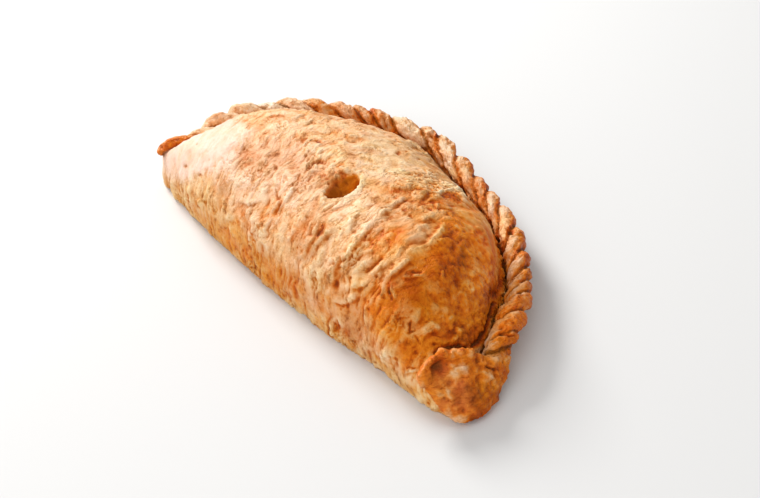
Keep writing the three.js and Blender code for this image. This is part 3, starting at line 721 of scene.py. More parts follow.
for row in (
    # swellings and pits: place, size px, rise mm, darker, squash, turn
    ((318.5, 141), 3.2, -0.90, 0.36, 0.5, 20), ((316, 150), 7.0, 0.50, -0.06, 0.7, 0), ((335, 150), 8.0, 0.40, -0.03, 0.6, 0),
    ((243, 153), 8.0, -0.60, 0.08, 0.8, 0), ((275.5, 167), 2.4, -0.50, 0.20, 0.5, 80), ((260, 171), 2.6, -0.50, 0.15, 0.8, 0),
    ((298, 168), 1.6, -0.40, 0.18, 1.0, 0), ((221, 187), 5.0, 0.55, 0.06, 1.3, 0), ((323, 203), 5.0, 0.50, -0.10, 1.0, 0),
    ((413, 235), 13.0, 0.60, -0.05, 0.6, 0), ((450, 204), 7.0, -0.50, 0.12, 0.6, 30), ((404, 210), 2.2, -0.50, 0.20, 1.0, 0),
    ((410, 216), 2.2, -0.50, 0.20, 1.0, 0), ((432, 203), 2.5, -0.50, 0.20, 1.0, 0), ((398, 153), 2.6, -0.55, 0.24, 0.7, 0),
    ((406, 152), 1.5, -0.35, 0.12, 0.6, 0), ((480, 281), 4.0, 0.40, -0.16, 1.2, 0), ((435, 306), 4.4, 0.50, -0.16, 0.9, 0),
    ((452, 317), 3.2, 0.50, -0.16, 0.8, -30), ((461, 331), 2.6, 0.50, -0.10, 1.0, 0), ((458, 277), 6.0, -0.20, 0.22, 0.8, 0),
    ((467, 284), 1.6, 0.40, -0.20, 1.0, 0), ((471, 290), 1.6, 0.40, -0.18, 1.0, 0), ((472, 283), 1.3, 0.30, -0.15, 1.0, 0),
    ((433, 337), 10.0, 0.50, 0.0, 0.6, -15), ((335, 285), 3.4, -0.85, 0.30, 1.4, 0), ((347, 287), 6.0, 0.60, -0.10, 0.8, 0),
    ((349, 298), 6.0, 0.50, -0.12, 0.8, 0), ((337, 327), 4.5, -0.50, 0.10, 1.5, 0), ((366, 345), 6.5, 0.90, -0.12, 1.3, 20),
    ((389, 353), 5.5, 0.90, -0.14, 1.3, 25), ((410, 379), 9.0, 0.80, -0.08, 0.9, 30), ((423, 398), 6.0, 0.70, -0.08, 1.0, 0),
    ((433, 406), 5.0, 0.60, -0.08, 1.0, 0), ((228, 217), 5.0, 0.40, -0.10, 0.8, 0), ((185, 166), 1.5, -0.40, 0.20, 1.0, 0),
    ((200, 175), 1.5, -0.30, 0.14, 1.0, 0), ((400, 282), 4.5, 0.45, 0.02, 0.7, 0), ((372, 255), 12.0, 0.35, 0.04, 0.6, -50),
    ((456, 226), 2.0, 0.40, -0.12, 1.0, 0), ((351, 331), 5.0, -0.25, 0.10, 1.2, 0), ((440, 293), 9.0, 0.25, -0.06, 0.6, 0),
):
    bump(*row)
bump((321, 230), 9.0, -0.4, 0.09, 0.5, -60)
bump((313, 226), 9.0, -0.3, 0.07, 0.4, -50)
bump((341.5, 173.0), 3.6, -0.5, 0.30, 0.7, 0)
bump((478, 233), 4.0, -0.25, 0.08, rim=0.20)
flake([(308, 163), (315, 159), (321, 158), (328, 159)], 0.40, 5.0, 1.6, 0.22)
flake([(263, 117), (275, 114), (288, 115)], 0.35, 4.0, 1.0, 0.18)
flake([(350, 262), (357, 256), (366, 251), (377, 249)], 0.35, 6.0, 1.2, 0.08)
flake([(330, 300), (341, 304), (352, 301), (361, 293)], 0.40, 6.0, 1.2, 0.10)
flake([(236, 200), (248, 204), (258, 200)], 0.30, 5.0, 1.2, 0.06)

# the folded tab
# the tab's dimple: a soft hollow whose darkness is painted shade
bump((438, 367), 8.6, -1.6, 0.20, 1.0, 0, 2.0, on_tab)
ridge([(424, 389), (422, 378), (426, 369), (432, 360), (441, 354), (450, 353)], 4.4, 1.25, -0.08, on_tab, (0.1, 0.1))
ridge([(449, 354), (458, 352.5), (466, 350.5), (476, 354)], 3.8, 1.1, -0.06, on_tab, (0.1, 0.2))
ridge([(449, 378), (455, 372), (463, 369), (471, 370)], 3.2, 1.0, -0.10, on_tab)
bump((456, 391), 5.0, -0.35, 0.14, 1.0, 0, 2.0, on_tab)
bump((450, 383), 4.0, -0.3, 0.08, 1.0, 0, 2.0, on_tab)
bump((499, 398), 7.0, -0.3, 0.12, 1.0, 0, 2.0, on_tab)
bump((485, 375), 6.0, 0.5, 0.06, 1.0, 0, 2.0, on_tab)
ridge([(487, 364), (496, 368), (500, 377), (498, 386)], 1.8, 0.6, -0.05, on_tab)
ridge([(486, 350), (494, 348), (503, 349), (510, 354)], 2.6, 0.7, -0.12, on_tab)
ridge([(480, 357), (484, 364), (492, 369), (503, 370)], 1.4, -0.8, 0.22, on_tab)
bump((497, 358), 5.5, 0.5, -0.04, 0.8, 0, 2.0, on_tab)
ridge([(470, 372), (482, 372), (492, 378), (498, 388)], 2.4, 0.6, -0.16, on_tab)
bump((474, 392), 9.0, 0.5, 0.06, 0.8, 30, 2.0, on_tab)
bump((461, 419), 5.0, 0.4, -0.14, 0.7, 0, 2.0, on_tab)
bump((463, 411), 7.0, -0.2, 0.08, 0.7, 0, 2.0, on_tab)
bump((441, 394), 3.6, 0.5, -0.12, 1.0, 0, 2.0, on_tab)
ridge([(445, 385), (448, 395), (455, 405)], 2.2, 0.5, -0.04, on_tab)
ridge([(479, 355), (482, 362), (488, 367)], 2.0, 0.7, -0.10, on_tab + on_rope)
bump((470, 373), 5.0, 0.3, -0.10, 0.8, 0, 2.0, on_tab)
# knobs, curls and pits on the crimp
bump((373, 107.5), 4.5, 1.3, 0.24, 1.0, 0, 2.0, on_rope)
ridge([(427, 139), (428, 134), (432, 131.5), (436, 134), (436, 140)], 1.7, 0.7, 0.0, on_rope, (0.1, 0.1))
bump((431, 136.5), 2.2, -0.9, 0.30, 1.0, 0, 2.0, on_rope)
bump((436.5, 136), 3.0, -0.1, 0.22, 1.3, 20, 2.0, on_rope)
ridge([(384, 116), (385, 124), (387, 131)], 1.4, -1.0, 0.35, on_rope)
bump((502, 327), 4.2, -0.9, 0.14, 0.5, 10, 2.0, on_rope)
ridge([(497, 333), (506, 334.5), (517, 336)], 1.3, -0.9, 0.40, on_rope, (0.2, 0.1))
ridge([(492, 197), (492, 207), (491, 218)], 2.0, 0.5, -0.10, on_rope)
bump((511, 232), 2.6, -1.1, 0.50, 1.0, 0, 2.0, on_rope)
bump((519, 293), 1.6, -0.6, 0.40, 1.0, 0, 2.0, on_rope)
bump((480, 197), 2.0, -0.5, 0.20, 1.0, 0, 2.0, on_rope)
bump((351, 116), 2.6, 0.7, -0.05, 0.8, 20, 2.0, on_rope)
# painted shade: a darker band on the dome beside the crease
d, s, t = line([(474, 216), (487, 238), (493, 256), (494, 275), (489, 296), (481, 316)])
brown_and_shade += 0.16 * np.exp(-(d / 5.0) ** 2) * ends(t, 0.2, 0.2) * on_dome
# the deep crease between the dome and the crimp, wide and crumby over the right half; its darkening is painted shade,
# the crumbs browner
crumb = 0.6 * noise(P / 1.1, 66) + 0.5 * noise(P / 0.7, 67)
for pts, width, drop, dark in (
    ([(448, 175), (460, 187), (471, 199.5), (483, 213), (493, 227)], 1.6, 0.7, 0.22),
    ([(493, 226), (498, 238), (501.5, 250), (502.5, 264), (502, 277), (499, 290), (496, 301)], 3.1, 0.4, 0.22),
    ([(497, 300), (491, 316), (485, 330), (478, 342), (470, 348)], 2.0, 0.9, 0.30),
    ([(470, 349), (460, 346), (450, 347), (440, 349), (432, 354)], 1.8, 0.6, 0.26)):
    d, s, t = line(pts)
    g = np.exp(-np.abs(d / width) ** 2.2) * ends(t, 0.08, 0.08) * seen
    height -= drop * g
    height += 0.7 * crumb * np.exp(-(d / (width * 1.5)) ** 2) * ends(t, 0.08, 0.08) * seen
    brown_and_shade += (dark + 0.12 * crumb) * g

P = P + N * height[:, None]
P[:, 2] = np.maximum(P[:, 2], 0.0)
N2 = normals(P)
smooth_P = relax(P, 16)
hollow_map = ((smooth_P - P) * N2).sum(1)          # mm below its surroundings
# hollows and raised spots, used below for painted shade and painted highlight in the bake and for the coat
hollow_shade = smoothstep(0.02, 0.30, hollow_map)
proud = smoothstep(0.02, 0.30, -hollow_map)

# -------------------------------------------------------------- bake tone
low = (1 - smoothstep(1.0, 11.0, P[:, 2])) * case_w
toast = smoothstep(-0.25, 0.45, fbm(P / 5.5, 2, 82))
amber = np.maximum(patch((462, 285), 62, 0.56, 84, 0.28), patch((432, 292), 34, 0.62, 60, 0.4)) * case_w
bake = 0.43 + 0.07 * fbm(P / 18.0, 2, 81) + 0.10 * fbm(P / 9.0, 2, 97) * case_w + 0.09 * fbm(P / 4.2, 3, 83) + 0.03 * fbm(P / 1.7, 2, 86)
bake = bake + case_w * (0.10 * glossy + 0.16 * amber - 0.13 * highlit_end + 0.06 * layer_edge + 0.03 * low)
bake = bake + case_w * glossy * (0.26 * fbm(P / 5.0, 3, 91) + 0.24 * fbm(P / 1.9, 2, 93))
# the spot at (328, 183) on the vent's far rim is painted shade
for at, size, squash, angle, more in (
    ((474, 238), 20, 0.9, 0, -0.09), ((328, 183), 9, 0.8, 0, 0.10), ((390, 240), 26, 0.6, -30, 0.05),
    ((490, 264), 16, 1.6, 0, -0.03), ((416, 206), 30, 0.6, 0, -0.05), ((424, 232), 20, 0.7, 0, -0.06),
    ((388, 306), 34, 0.6, 45, 0.05), ((270, 276), 42, 0.35, 45, 0.04),
    ((272, 156), 44, 0.40, 8, -0.01), ((382, 156), 18, 0.7, 20, -0.03),
    ((390, 240), 20, 0.7, -30, 0.05),
    ((418, 252), 16, 0.6, -10, 0.04), ((265, 190), 34, 0.8, 0, -0.03), ((385, 165), 26, 0.7, 20, -0.025), ((320, 285), 34, 0.7, 40, 0.03),
    # the band at (465, 343) just above the tab is painted shade of the crease
    ((436, 402), 18, 0.5, 40, 0.07), ((420, 364), 22, 0.7, 20, 0.09), ((345, 222), 14, 0.5, -50, -0.04), ((300, 205), 14, 0.6, -40, -0.03), ((465, 343), 28, 0.22, -8, 0.10), ((310, 222), 26, 0.8, 0, 0.04), ((450, 320), 26, 0.8, 0, -0.04), ((420, 388), 18, 0.5, 35, 0.05), ((290, 175), 90, 0.55, 30, -0.035), ((385, 195), 40, 0.6, 10, -0.04),
    ((405, 320), 60, 0.6, 40, 0.03), ((425, 228), 24, 0.5, -10, 0.05), ((445, 262), 22, 0.8, 0, 0.04), ((432, 324), 14, 0.6, 0, 0.06), ((436, 210), 34, 0.5, 0, 0.02),
    # broad browner (+) and paler (-) areas of the crust; the browner band just above the tab, at (462, 338) and (465,
    # 343), is painted shade of the crease
    ((410, 200), 36, 0.50, 10, 0.09), ((462, 338), 34, 0.32, -8, 0.20), ((205, 172), 30, 0.5, 60, -0.05),
    ((275, 175), 46, 0.6, 30, -0.02), ((490, 300), 30, 0.35, 70, 0.04), ((385, 158), 44, 0.38, 30, -0.04),
    ((300, 118), 50, 0.3, 0, -0.01), ((340, 145), 40, 0.5, 10, -0.02), ((352, 218), 34, 0.45, -35, -0.08),
    ((400, 240), 26, 0.5, -25, 0.02),
    ((432, 335), 20, 0.45, -20, 0.02), ((375, 312), 38, 0.5, 55, 0.08), ((408, 300), 22, 0.8, 0, 0.08),
    ((428, 276), 20, 0.5, 0, 0.06), ((474, 212), 40, 0.40, 55, 0.02), ((494, 248), 26, 0.35, 80, 0.03),
    ((440, 212), 26, 0.5, 0, 0.06), ((284, 222), 24, 0.5, -50, -0.05),
    ((325, 258), 26, 0.5, -55, -0.05), ((258, 262), 56, 0.22, 42, 0.07),
    ((215, 225), 34, 0.30, 47, 0.06), ((478, 276), 16, 0.9, 0, -0.08), ((405, 345), 26, 0.6, 35, 0.05),
    ((455, 185), 30, 0.28, 50, 0.06), ((246, 155), 14, 0.9, 0, 0.09), ((260, 175), 12, 0.7, 30, 0.07),
    ((268, 210), 22, 0.4, -60, 0.07), ((458, 246), 18, 1.3, 0, 0.10), ((425, 335), 30, 0.5, -20, 0.04),
):
    bake = bake + more * patch(at, size, squash, angle, 0.45) * case_w
crimp_dark = patch((515, 296), 70, 0.42, 96, 0.3) * rope_w + 1.2 * patch((176, 142), 16, 0.6, -30) * rope_w
bake = bake + rope_w * (-0.01 + 0.20 * toast * smoothstep(0, 0.3, proud)) + 0.13 * crimp_dark + tab_w * (0.245 + 0.10 * toast + 0.18 * fbm(P / 4.5, 2, 98) - 0.16 * patch((498, 354), 14, 0.6, 0) + 0.05 * patch((428, 376), 10, 1.4, 0))
bake = bake + tab_w * (0.12 * patch((467, 391), 15, 0.6, 30) - 0.08 * patch((452, 377), 7, 0.5, -20) - 0.10 * patch((493, 382), 11, 0.45, 70)
                       + 0.10 * patch((502, 396), 8, 1.0, 0) - 0.08 * patch((447, 372), 13, 0.5, 20) + 0.16 * patch((480, 418), 12, 0.6, -30)
                       - 0.08 * patch((478, 374), 18, 0.35, 10) + 0.12 * patch((440, 366), 12, 0.7, 20))
lobe = np.zeros(len(P))
# per-strand tone, partly a painted highlight on the paler back-left strands
for i, more in enumerate((0.10, -0.06, -0.08, -0.08, -0.16, -0.13, 0.02, 0.0, 0.03, 0.02, -0.12, 0.0, -0.08, 0.04, 0.10,
                          0.0, -0.05, -0.02, -0.02, 0.04, 0.03, 0.03, 0.02, 0.02)):
    lobe += more * (part == STRAND + i)
# painted shade: crimp faces turned to the right and the gaps between strands are baked darker
shade_side = smoothstep(0.05, 0.85, N2 @ CAM_RIGHT)
bake = bake + relax(lobe, 6) * str_w + rope_w * ((0.26 * shade_side + 0.24 * strand_gap_shade) * (1 - 0.65 * patch((505, 315), 50, 0.6, 90)) - 0.03)
# painted highlight and shade: larger raised forms are baked paler, their hollows darker
broad = height - relax(height, 48)
bake = bake - 0.11 * np.clip(broad / 0.7, -1, 1) * case_w * (1 - 0.6 * highlit_end) - 0.06 * np.clip(broad / 0.7, -1, 1) * tab_w
# painted highlight: crimp and tab faces turned to the key light are baked paler
lit_side_highlight = smoothstep(0.15, 0.95, N2 @ np.array([-0.816, 0.048, 0.576]))
bake = bake - (0.13 + 0.05 * patch((410, 140), 90, 0.45, 38, 0.3)) * lit_side_highlight * rope_w + tab_w * (0.10 * patch((468, 398), 20, 0.8, 0) - 0.06 * lit_side_highlight)
# painted shade and highlight: hollows are baked darker and raised spots paler
bake = bake + 0.08 * hollow_shade - 0.06 * proud + np.where(brown_and_shade > 0, 0.5, 1.0 - 0.45 * glossy - 0.35 * tab_w) * brown_and_shade + 0.07 * vent_rim + 0.04 * hole * case_w
golden = np.clip(glossy + 0.8 * tab_w + (patch((424, 322), 34, 0.7, 20, 0.5) + 0.65 * patch((412, 246), 44, 0.6, -25, 0.5) + 0.45 * patch((368, 322), 46, 0.5, 55, 0.5)) * case_w, 0, 1)
bake = bake + golden * 0.6 * np.maximum(0.52 - bake, 0)
# painted shade: the vent's hollow takes a dark olive-brown bake, darker along its near lip
bake = bake * (1 - 0.75 * in_vent) + 0.75 * in_vent * (0.92 + 0.08 * patch((334, 187), 12, 0.7, -35) - 0.14 * patch((357, 179), 7, 0.9, -30) + 0.10 * patch((342, 173), 5, 0.7, 0) + 0.24 * patch((346, 191), 11, 0.35, -28) + 0.05 * fbm(P / 3.0, 2, 84))
gold = 0.35 + 0.6 * fbm(P / 9.0, 2, 84) + 0.45 * low - 0.08 * tab_w - 0.20 * rope_w + 0.02 * glossy + 1.15 * in_vent
gold = gold + (0.40 * patch((205, 205), 50, 0.42, 47) - 0.20 * patch((484, 258), 26, 0.7, 80)) * case_w + 0.04 + 0.30 * patch((455, 374), 10, 0.8, 0) * tab_w
gold = gold - 0.30 * lip + 0.04
gold = gold + (0.35 * patch((416, 302), 30, 0.7, 0) + 0.35 * patch((498, 264), 26, 0.5, 90) + 0.30 * patch((430, 350), 20, 0.6, 0)
               + 0.30 * patch((248, 252), 44, 0.4, 45) + 0.25 * patch((324, 176), 34, 0.8, -60)) * case_w + 0.30 * patch((478, 396), 16, 1.0, 0) * tab_w
# painted highlight: larger raised forms are yellower
gold = gold - 0.10 + 0.40 * np.clip(broad / 0.7, -1, 1) * case_w
gold = gold + 0.16 * glossy - 0.30 * highlit_end + 0.25 * patch((415, 165), 46, 0.4, 38) * case_w + 0.30 * low + 0.3 * patch((415, 378), 30, 0.6, 35) * case_w - 0.4 * patch((438, 367), 11, 1.0, 0) * tab_w - 0.22 * patch((265, 190), 80, 0.8, 0) * case_w
gloss = 0.40 + 0.45 * glossy + 0.5 * glossy * fbm(P / 2.2, 2, 99) + 0.25 * fbm(P / 9.0, 2, 85) - 0.2 * flaky - 1.2 * patch((484, 232), 40, 0.5, 62) * case_w
# painted shade: seams between parts and hollows mix toward dark brown
cleft_shade = np.maximum(seam * smoothstep(0.05, 0.6, hollow_map) * (1 - 0.7 * patch((425, 140), 62, 0.5, 38)),
                   0.62 * smoothstep(0.06, 0.55, hollow_map) * (1 - in_vent))
flow = q1 * case_w[:, None] + np.stack([spot[:, 0] * 40.0 + part * 7.0, round_it[:, 0] * 3.6, round_it[:, 1] * 3.6], -1) * str_w[:, None] \
    + (1 - case_w - str_w).clip(0, 1)[:, None] * P
wash = 0.25 * patch((350, 225), 60, 0.5, -45) * case_w + 0.28 * highlit_end + 0.10 * rope_w + 0.08 * tab_w + 0.06 * glossy + 0.10 * fbm(P / 6.0, 2, 87)
wash = wash * (1 - 0.7 * patch((412, 246), 44, 0.6, -25, 0.5) * case_w) * (1 - 0.9 * patch((500, 336), 26, 0.8, 0) * rope_w) * (0.35 + 1.3 * proud) * (1 - in_vent) * (1 - 0.9 * patch((484, 232), 34, 0.5, 62) * case_w)
busy = 1.05 - 0.80 * highlit_end - 0.10 * glossy - (0.75 * patch((484, 228), 40, 0.5, 60) + 0.45 * patch((415, 232), 30, 0.5, 0) + 0.35 * patch((405, 158), 50, 0.4, 38)) * case_w - 0.65 * in_vent - 0.2 * tab_w - 0.15 * rope_w
# dimmer colour: darker marks, and painted shade in hollows, pinholes and the crease
dim_and_shade = (1.25 + 0.9 * case_w) * np.clip(brown_and_shade, 0, 1) * (1 - in_vent) + 0.22 * hollow_shade * case_w + 0.30 * hole * case_w * (0.3 + 0.7 * rough)
# painted shade: the hollows between larger forms are dimmed
dim_and_shade = dim_and_shade + 0.12 * np.clip(-broad / 0.5, 0, 1) * case_w
# painted highlight: the highlit left end, patches behind the vent and a spot on the tab mix toward pale pink
painted_highlight = np.clip(1.15 * highlit_end, 0, 0.92) * (1 - 0.35 * smoothstep(-0.2, 0.4, fbm(P / 5.0, 2, 95)))
# painted shade: the band along the crease above the tab and the wide crease along the crimp are dimmed
dim_and_shade = dim_and_shade + 0.20 * patch((465, 344), 26, 0.22, -8) * case_w + 0.10 * rope_w * (1 - smoothstep(-40.0, -5.0, P[:, 0])) + (0.06 * patch((310, 222), 30, 0.8, 0) + 0.09 * patch((275, 156), 50, 0.4, 10) + 0.10 * patch((272, 278), 44, 0.4, 45) + 0.12 * patch((398, 300), 34, 0.7, 40)) * case_w + 0.07 * in_crease * (1 + 1.4 * fbm(P / 1.3, 2, 69))
# the wide crease: browner crumbs, and painted shade
bake = bake + 0.20 * in_crease * (1 + 1.4 * fbm(P / 1.3, 2, 69))
# the paler spot at (262, 108) on the back-left strands is a painted highlight
for at, size, squash, angle, more in (
    ((262, 108), 20, 0.5, 0, -0.14),
    ((524, 288), 22, 0.45, 90, -0.05), ((500, 344), 16, 0.8, 0, 0.03),
):
    bake = bake + more * patch(at, size, squash, angle, 0.45) * rope_w
bake = bake - tab_w * (0.09 * patch((455, 385), 26, 0.8, 45, 0.5) + 0.14 * patch((452, 416), 16, 0.7, 20, 0.5))
# darker spots; the one at (328, 183) on the vent's far rim is painted shade
for at, size, squash, angle, more in (
    ((428, 286), 30, 0.9, 0, 0.17), ((356, 334), 26, 0.6, 60, 0.13), ((402, 304), 20, 0.9, 0, 0.06), ((385, 318), 18, 0.9, 0, 0.08),
    ((404, 348), 18, 0.6, 20, 0.15), ((308, 190), 24, 0.6, 60, 0.10), ((328, 183), 10, 0.9, 0, 0.20), ((322, 230), 14, 0.6, -50, 0.09), ((392, 228), 26, 0.6, -10, 0.08), ((296, 238), 24, 0.7, 0, 0.07),
    ((405, 200), 34, 0.5, 10, 0.04), ((272, 156), 22, 0.6, 0, 0.10),
    ((452, 300), 18, 0.9, 0, 0.06),
):
    dim_and_shade = dim_and_shade + more * patch(at, size, squash, angle, 0.45) * (case_w + tab_w)
dim_and_shade = dim_and_shade + (0.12 * patch((474, 180), 15, 0.8, 0) + 0.08 * patch((500, 324), 12, 0.9, 0)) * rope_w
painted_highlight = np.clip(painted_highlight + (0.30 * patch((272, 168), 56, 0.55, 10, 0.5) + 0.16 * patch((320, 200), 30, 0.7, 0, 0.5)) * case_w * (1 - in_vent) + 0.05 * patch((452, 392), 26, 0.7, 60, 0.5) * tab_w, 0, 0.92)

# painted light: amber parts of the shaded right flank and of the crimp are brightened and turned more orange
painted_light = (0.04 * amber + 0.55 * patch((483, 232), 24, 0.8, 70, 0.5) + 0.75 * patch((499, 266), 24, 0.6, 90, 0.4) + 0.35 * patch((476, 276), 14, 1.0, 0)
        + 0.12 * patch((448, 250), 16, 0.9, 0) + 0.35 * patch((428, 252), 13, 0.9, 0)) * case_w
painted_light = painted_light + (0.45 * patch((502, 228), 14, 0.9, 0) + 0.50 * patch((502, 312), 26, 0.5, 90) + 0.35 * patch((452, 180), 13, 0.9, 0)
               + 0.35 * patch((430, 156), 13, 0.9, 0) + 0.15 * patch((524, 324), 14, 1.0, 0)) * rope_w
painted_light = np.clip(painted_light, 0, 1)

# ---------------------------------------------------------------- the piece
me = new_mesh("crust_fine", (P + SHIFT) / 1000.0, quads)
for name, data in (("bake", bake), ("gold", gold), ("gloss", gloss), ("cleft_shade", cleft_shade), ("wash", wash), ("busy", busy), ("dim_and_shade", dim_and_shade), ("painted_light", painted_light), ("painted_highlight", painted_highlight)):
    at = me.attributes.new(name, "FLOAT", "POINT")
    at.data.foreach_set("value", np.clip(data, 0, 1).astype(np.float32))
at = me.attributes.new("flow", "FLOAT_VECTOR", "POINT")
at.data.foreach_set("vector", flow.astype(np.float32).ravel())
fine = bpy.data.objects.new("crust_fine", me)
bpy.context.scene.collection.objects.link(fine)
mod = fine.modifiers.new("fewer", "DECIMATE")
mod.ratio = min(1.0, TRIANGLES / (2.0 * len(quads)))
crust_me = bpy.data.meshes.new_from_object(fine.evaluated_get(bpy.context.evaluated_depsgraph_get()))
crust_me.name = "crust"
bpy.data.objects.remove(fine)
crust_me.polygons.foreach_set("use_smooth", np.ones(len(crust_me.polygons), bool))
crust = bpy.data.objects.new("crust", crust_me)
bpy.context.scene.collection.objects.link(crust)
print("crust: fine quads", len(quads), "final faces", len(crust_me.polygons))

# ----------------------------------------------------------------- material
mat = bpy.data.materials.new("baked_crust")
mat.use_nodes = True
nt = mat.node_tree
bsdf = nt.nodes["Principled BSDF"]


def node(kind, **values):
    n = nt.nodes.new(kind)
    for k, v in values.items():
        if k in n.inputs:
            n.inputs[k].default_value = v
        else:
            setattr(n, k, v)
    return n


def link(a, b, out=0, into=0):
    nt.links.new(a.outputs[out], b.inputs[into])


def attribute(name):
    return node("ShaderNodeAttribute", attribute_name=name).outputs["Fac"]


def math_node(op, a, b=None, clamp=False):
    n = node("ShaderNodeMath", operation=op, use_clamp=clamp)
    for i, v in enumerate((a, b)):
        if v is None:
            continue
        if isinstance(v, (int, float)):
            n.inputs[i].default_value = v
        else:
            nt.links.new(v, n.inputs[i])
    return n.outputs[0]


coord = node("ShaderNodeTexCoord").outputs["Object"]


def noise_node(scale, detail=3.0, rough=0.55, distortion=0.0):
    n = node("ShaderNodeTexNoise")
    n.inputs["Scale"].default_value = scale
    n.inputs["Detail"].default_value = detail
    n.inputs["Roughness"].default_value = rough
    n.inputs["Distortion"].default_value = distortion
    nt.links.new(coord, n.inputs["Vector"])
    return n.outputs["Fac"]


def ramp(fac, stops):
    n = node("ShaderNodeValToRGB")
    el = n.color_ramp.elements
    el[0].position, el[0].color = stops[0][0], (*stops[0][1], 1)
    el[1].position, el[1].color = stops[-1][0], (*stops[-1][1], 1)
    for pos, col in stops[1:-1]:
        el.new(pos).color = (*col, 1)
    nt.links.new(fac, n.inputs["Fac"])
    return n.outputs["Color"]


def mix_colour(fac, a, b, blend="MIX"):
    n = node("ShaderNodeMix", data_type="RGBA", blend_type=blend)
    ins = [i for i in n.inputs if i.enabled]
    for sock, v in zip((n.inputs["Factor"], n.inputs[6], n.inputs[7]), (fac, a, b)):
        if isinstance(v, (int, float)):
            sock.default_value = v
        elif isinstance(v, tuple):
            sock.default_value = v
        else:
            nt.links.new(v, sock)
    return n.outputs[2]


flow = node("ShaderNodeAttribute", attribute_name="flow").outputs["Vector"]


def flow_noise(across, along_, detail=3.0, rough=0.55, distortion=0.0):
    """Noise drawn out along the fall of the crust; sizes in mm."""
    m = node("ShaderNodeMapping")
    m.inputs["Scale"].default_value = (1 / across, 1 / along_, 1.0)
    nt.links.new(flow, m.inputs["Vector"])
    n = node("ShaderNodeTexNoise")
    n.inputs["Scale"].default_value = 1.0
    n.inputs["Detail"].default_value = detail
    n.inputs["Roughness"].default_value = rough
    n.inputs["Distortion"].default_value = distortion
    nt.links.new(m.outputs[0], n.inputs["Vector"])
    return n.outputs["Fac"]


def centred(v, gain):
    return math_node("MULTIPLY", math_node("SUBTRACT", v, 0.5), gain)


busy = attribute("busy")
mottle = noise_node(230.0, 3.0, 0.58)
speck = noise_node(900.0, 2.0, 0.6)
streak = flow_noise(3.0, 6.5, 3.0, 0.58, 0.3)


def lively(v, gain):
    return math_node("MULTIPLY", centred(v, gain), busy)


t = math_node("ADD", attribute("bake"), lively(mottle, 0.14))
t = math_node("ADD", t, lively(streak, -0.07))
t = math_node("ADD", t, lively(speck, 0.06), True)
red = ramp(t, [(0.0, (0.92, 0.83, 0.73)), (0.22, (0.86, 0.615, 0.42)), (0.42, (0.775, 0.42, 0.225)), (0.52, (0.745, 0.305, 0.095)),
               (0.62, (0.74, 0.195, 0.014)), (0.80, (0.55, 0.100, 0.004)), (1.0, (0.18, 0.030, 0.003))])
yellow = ramp(t, [(0.0, (0.92, 0.84, 0.66)), (0.22, (0.86, 0.665, 0.385)), (0.42, (0.78, 0.48, 0.205)), (0.52, (0.745, 0.360, 0.085)),
                  (0.62, (0.73, 0.250, 0.012)), (0.80, (0.53, 0.140, 0.004)), (1.0, (0.19, 0.050, 0.003))])
hue = math_node("ADD", attribute("gold"), math_node("MULTIPLY", math_node("SUBTRACT", noise_node(160.0, 2.0), 0.5), 0.5), True)
colour = mix_colour(hue, red, yellow)
# painted shade of the fine relief: the noises darken the colour in small spots
shade = math_node("ADD", math_node("ADD", lively(streak, 1.4), lively(speck, 0.70)), lively(mottle, -0.90))
shade = ramp(math_node("ADD", shade, 0.5, True), [(0.08, (0.46, 0.27, 0.13)), (0.34, (0.86, 0.72, 0.55)), (0.54, (1.0, 1.0, 1.0))])
# painted highlight: mix toward pale pink
colour = mix_colour(attribute("painted_highlight"), colour, (0.79, 0.555, 0.46, 1))
colour = mix_colour(1.0, colour, shade, "MULTIPLY")
colour = mix_colour(1.0, colour, ramp(attribute("dim_and_shade"), [(0.0, (1.0, 1.0, 1.0)), (0.35, (0.75, 0.55, 0.36)), (1.0, (0.36, 0.17, 0.07))]), "MULTIPLY")
# painted light: brighten and warm the amber parts
colour = mix_colour(1.0, colour, ramp(attribute("painted_light"), [(0.0, (1.0, 1.0, 1.0)), (1.0, (1.24, 1.02, 0.50))]), "MULTIPLY")
# painted shade in seams and hollows
colour = mix_colour(attribute("cleft_shade"), colour, (0.22, 0.075, 0.015, 1))
nt.links.new(colour, bsdf.inputs["Base Color"])
rough_v = math_node("SUBTRACT", 0.62, math_node("MULTIPLY", attribute("gloss"), 0.32))
rough_v = math_node("ADD", rough_v, math_node("MULTIPLY", math_node("SUBTRACT", mottle, 0.5), 0.30), True)
nt.links.new(rough_v, bsdf.inputs["Roughness"])
pores = node("ShaderNodeTexVoronoi", feature="F1")
pores.inputs["Scale"].default_value = 900.0
nt.links.new(coord, pores.inputs["Vector"])
pore = math_node("SMOOTH_MIN", pores.outputs["Distance"], 0.35)
fine_bump = math_node("ADD", math_node("MULTIPLY", noise_node(800.0, 3.0, 0.55, 0.2), 0.5), math_node("MULTIPLY", pore, 0.5))
fine_bump = math_node("ADD", fine_bump, math_node("MULTIPLY", streak, 1.6))
fine_bump = math_node("MULTIPLY", math_node("SUBTRACT", fine_bump, 1.22), busy)
b = node("ShaderNodeBump")
b.inputs["Strength"].default_value = 1.0
b.inputs["Distance"].default_value = 0.0009
nt.links.new(fine_bump, b.inputs["Height"])
link(b, bsdf, 0, "Normal")
bsdf.inputs["Specular IOR Level"].default_value = 0.18
bsdf.inputs["Specular Tint"].default_value = (1.0, 0.55, 0.22, 1)
nt.links.new(attribute("wash"), bsdf.inputs["Coat Weight"])
bsdf.inputs["Coat Roughness"].default_value = 0.34
bsdf.inputs["Coat IOR"].default_value = 1.45
link(b, bsdf, 0, "Coat Normal")
crust_me.materials.clear()
crust_me.materials.append(mat)
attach(crust, "root")
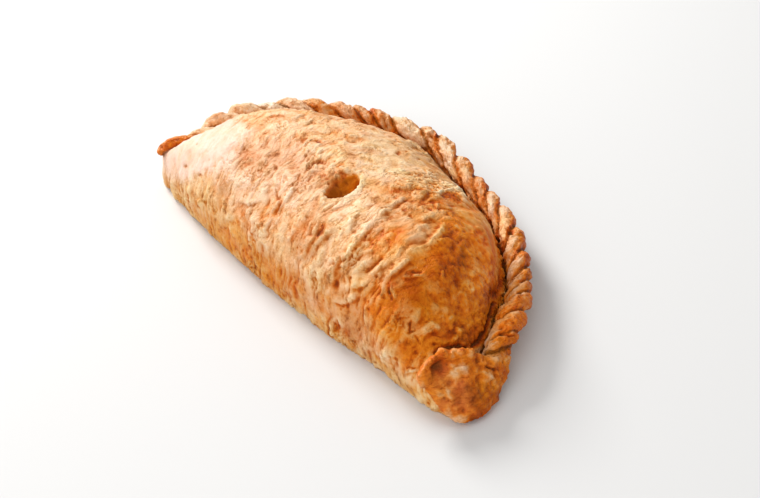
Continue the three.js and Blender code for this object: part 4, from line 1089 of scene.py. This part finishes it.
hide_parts("pasty")

# -------------------------------------------------------------------- stage
floor_me = new_mesh("floor", np.array([[-3, -3, 0], [3, -3, 0], [3, 3, 0], [-3, 3, 0]], float), np.array([[0, 1, 2, 3]]))
floor = bpy.data.objects.new("floor", floor_me)
bpy.context.scene.collection.objects.link(floor)
fm = bpy.data.materials.new("floor")
fm.use_nodes = True
fm.node_tree.nodes["Principled BSDF"].inputs["Base Color"].default_value = (0.68, 0.685, 0.69, 1)
fm.node_tree.nodes["Principled BSDF"].inputs["Roughness"].default_value = 0.9
floor_me.materials.append(fm)

world = bpy.data.worlds.new("studio")
bpy.context.scene.world = world
world.use_nodes = True
world.node_tree.nodes["Background"].inputs["Color"].default_value = (1.0, 0.985, 0.965, 1)
world.node_tree.nodes["Background"].inputs["Strength"].default_value = 0.55


def area(name, at, target, size, power, color=(1, 1, 1)):
    data = bpy.data.lights.new(name, "AREA")
    data.shape = "DISK"
    data.size = size
    data.energy = power
    data.color = color
    o = bpy.data.objects.new(name, data)
    o.location = at
    o.rotation_euler = (Vector(target) - Vector(at)).to_track_quat("-Z", "Y").to_euler()
    bpy.context.scene.collection.objects.link(o)


area("window", (-0.85, 0.05, 0.60), (0, 0, 0.02), 0.42, 12.0, (1.0, 0.985, 0.96))
area("fill", (0.35, -0.95, 0.80), (0, 0, 0.02), 1.2, 7.9, (1.0, 0.99, 0.98))

cam_data = bpy.data.cameras.new("camera")
cam_data.sensor_fit = "HORIZONTAL"
cam_data.sensor_width = 36.0
cam_data.lens = FOCAL / 760.0 * 36.0
cam_data.clip_start = 0.01
cam = bpy.data.objects.new("camera", cam_data)
m = Matrix.Identity(4)
for i in range(3):
    m[i][0], m[i][1], m[i][2] = CAM_RIGHT[i], CAM_UP[i], -CAM_FWD[i]
    m[i][3] = (CAM_AT[i] + SHIFT[i]) / 1000.0
cam.matrix_world = m
bpy.context.scene.collection.objects.link(cam)
bpy.context.scene.camera = cam
bpy.context.scene.view_settings.view_transform = "Standard"
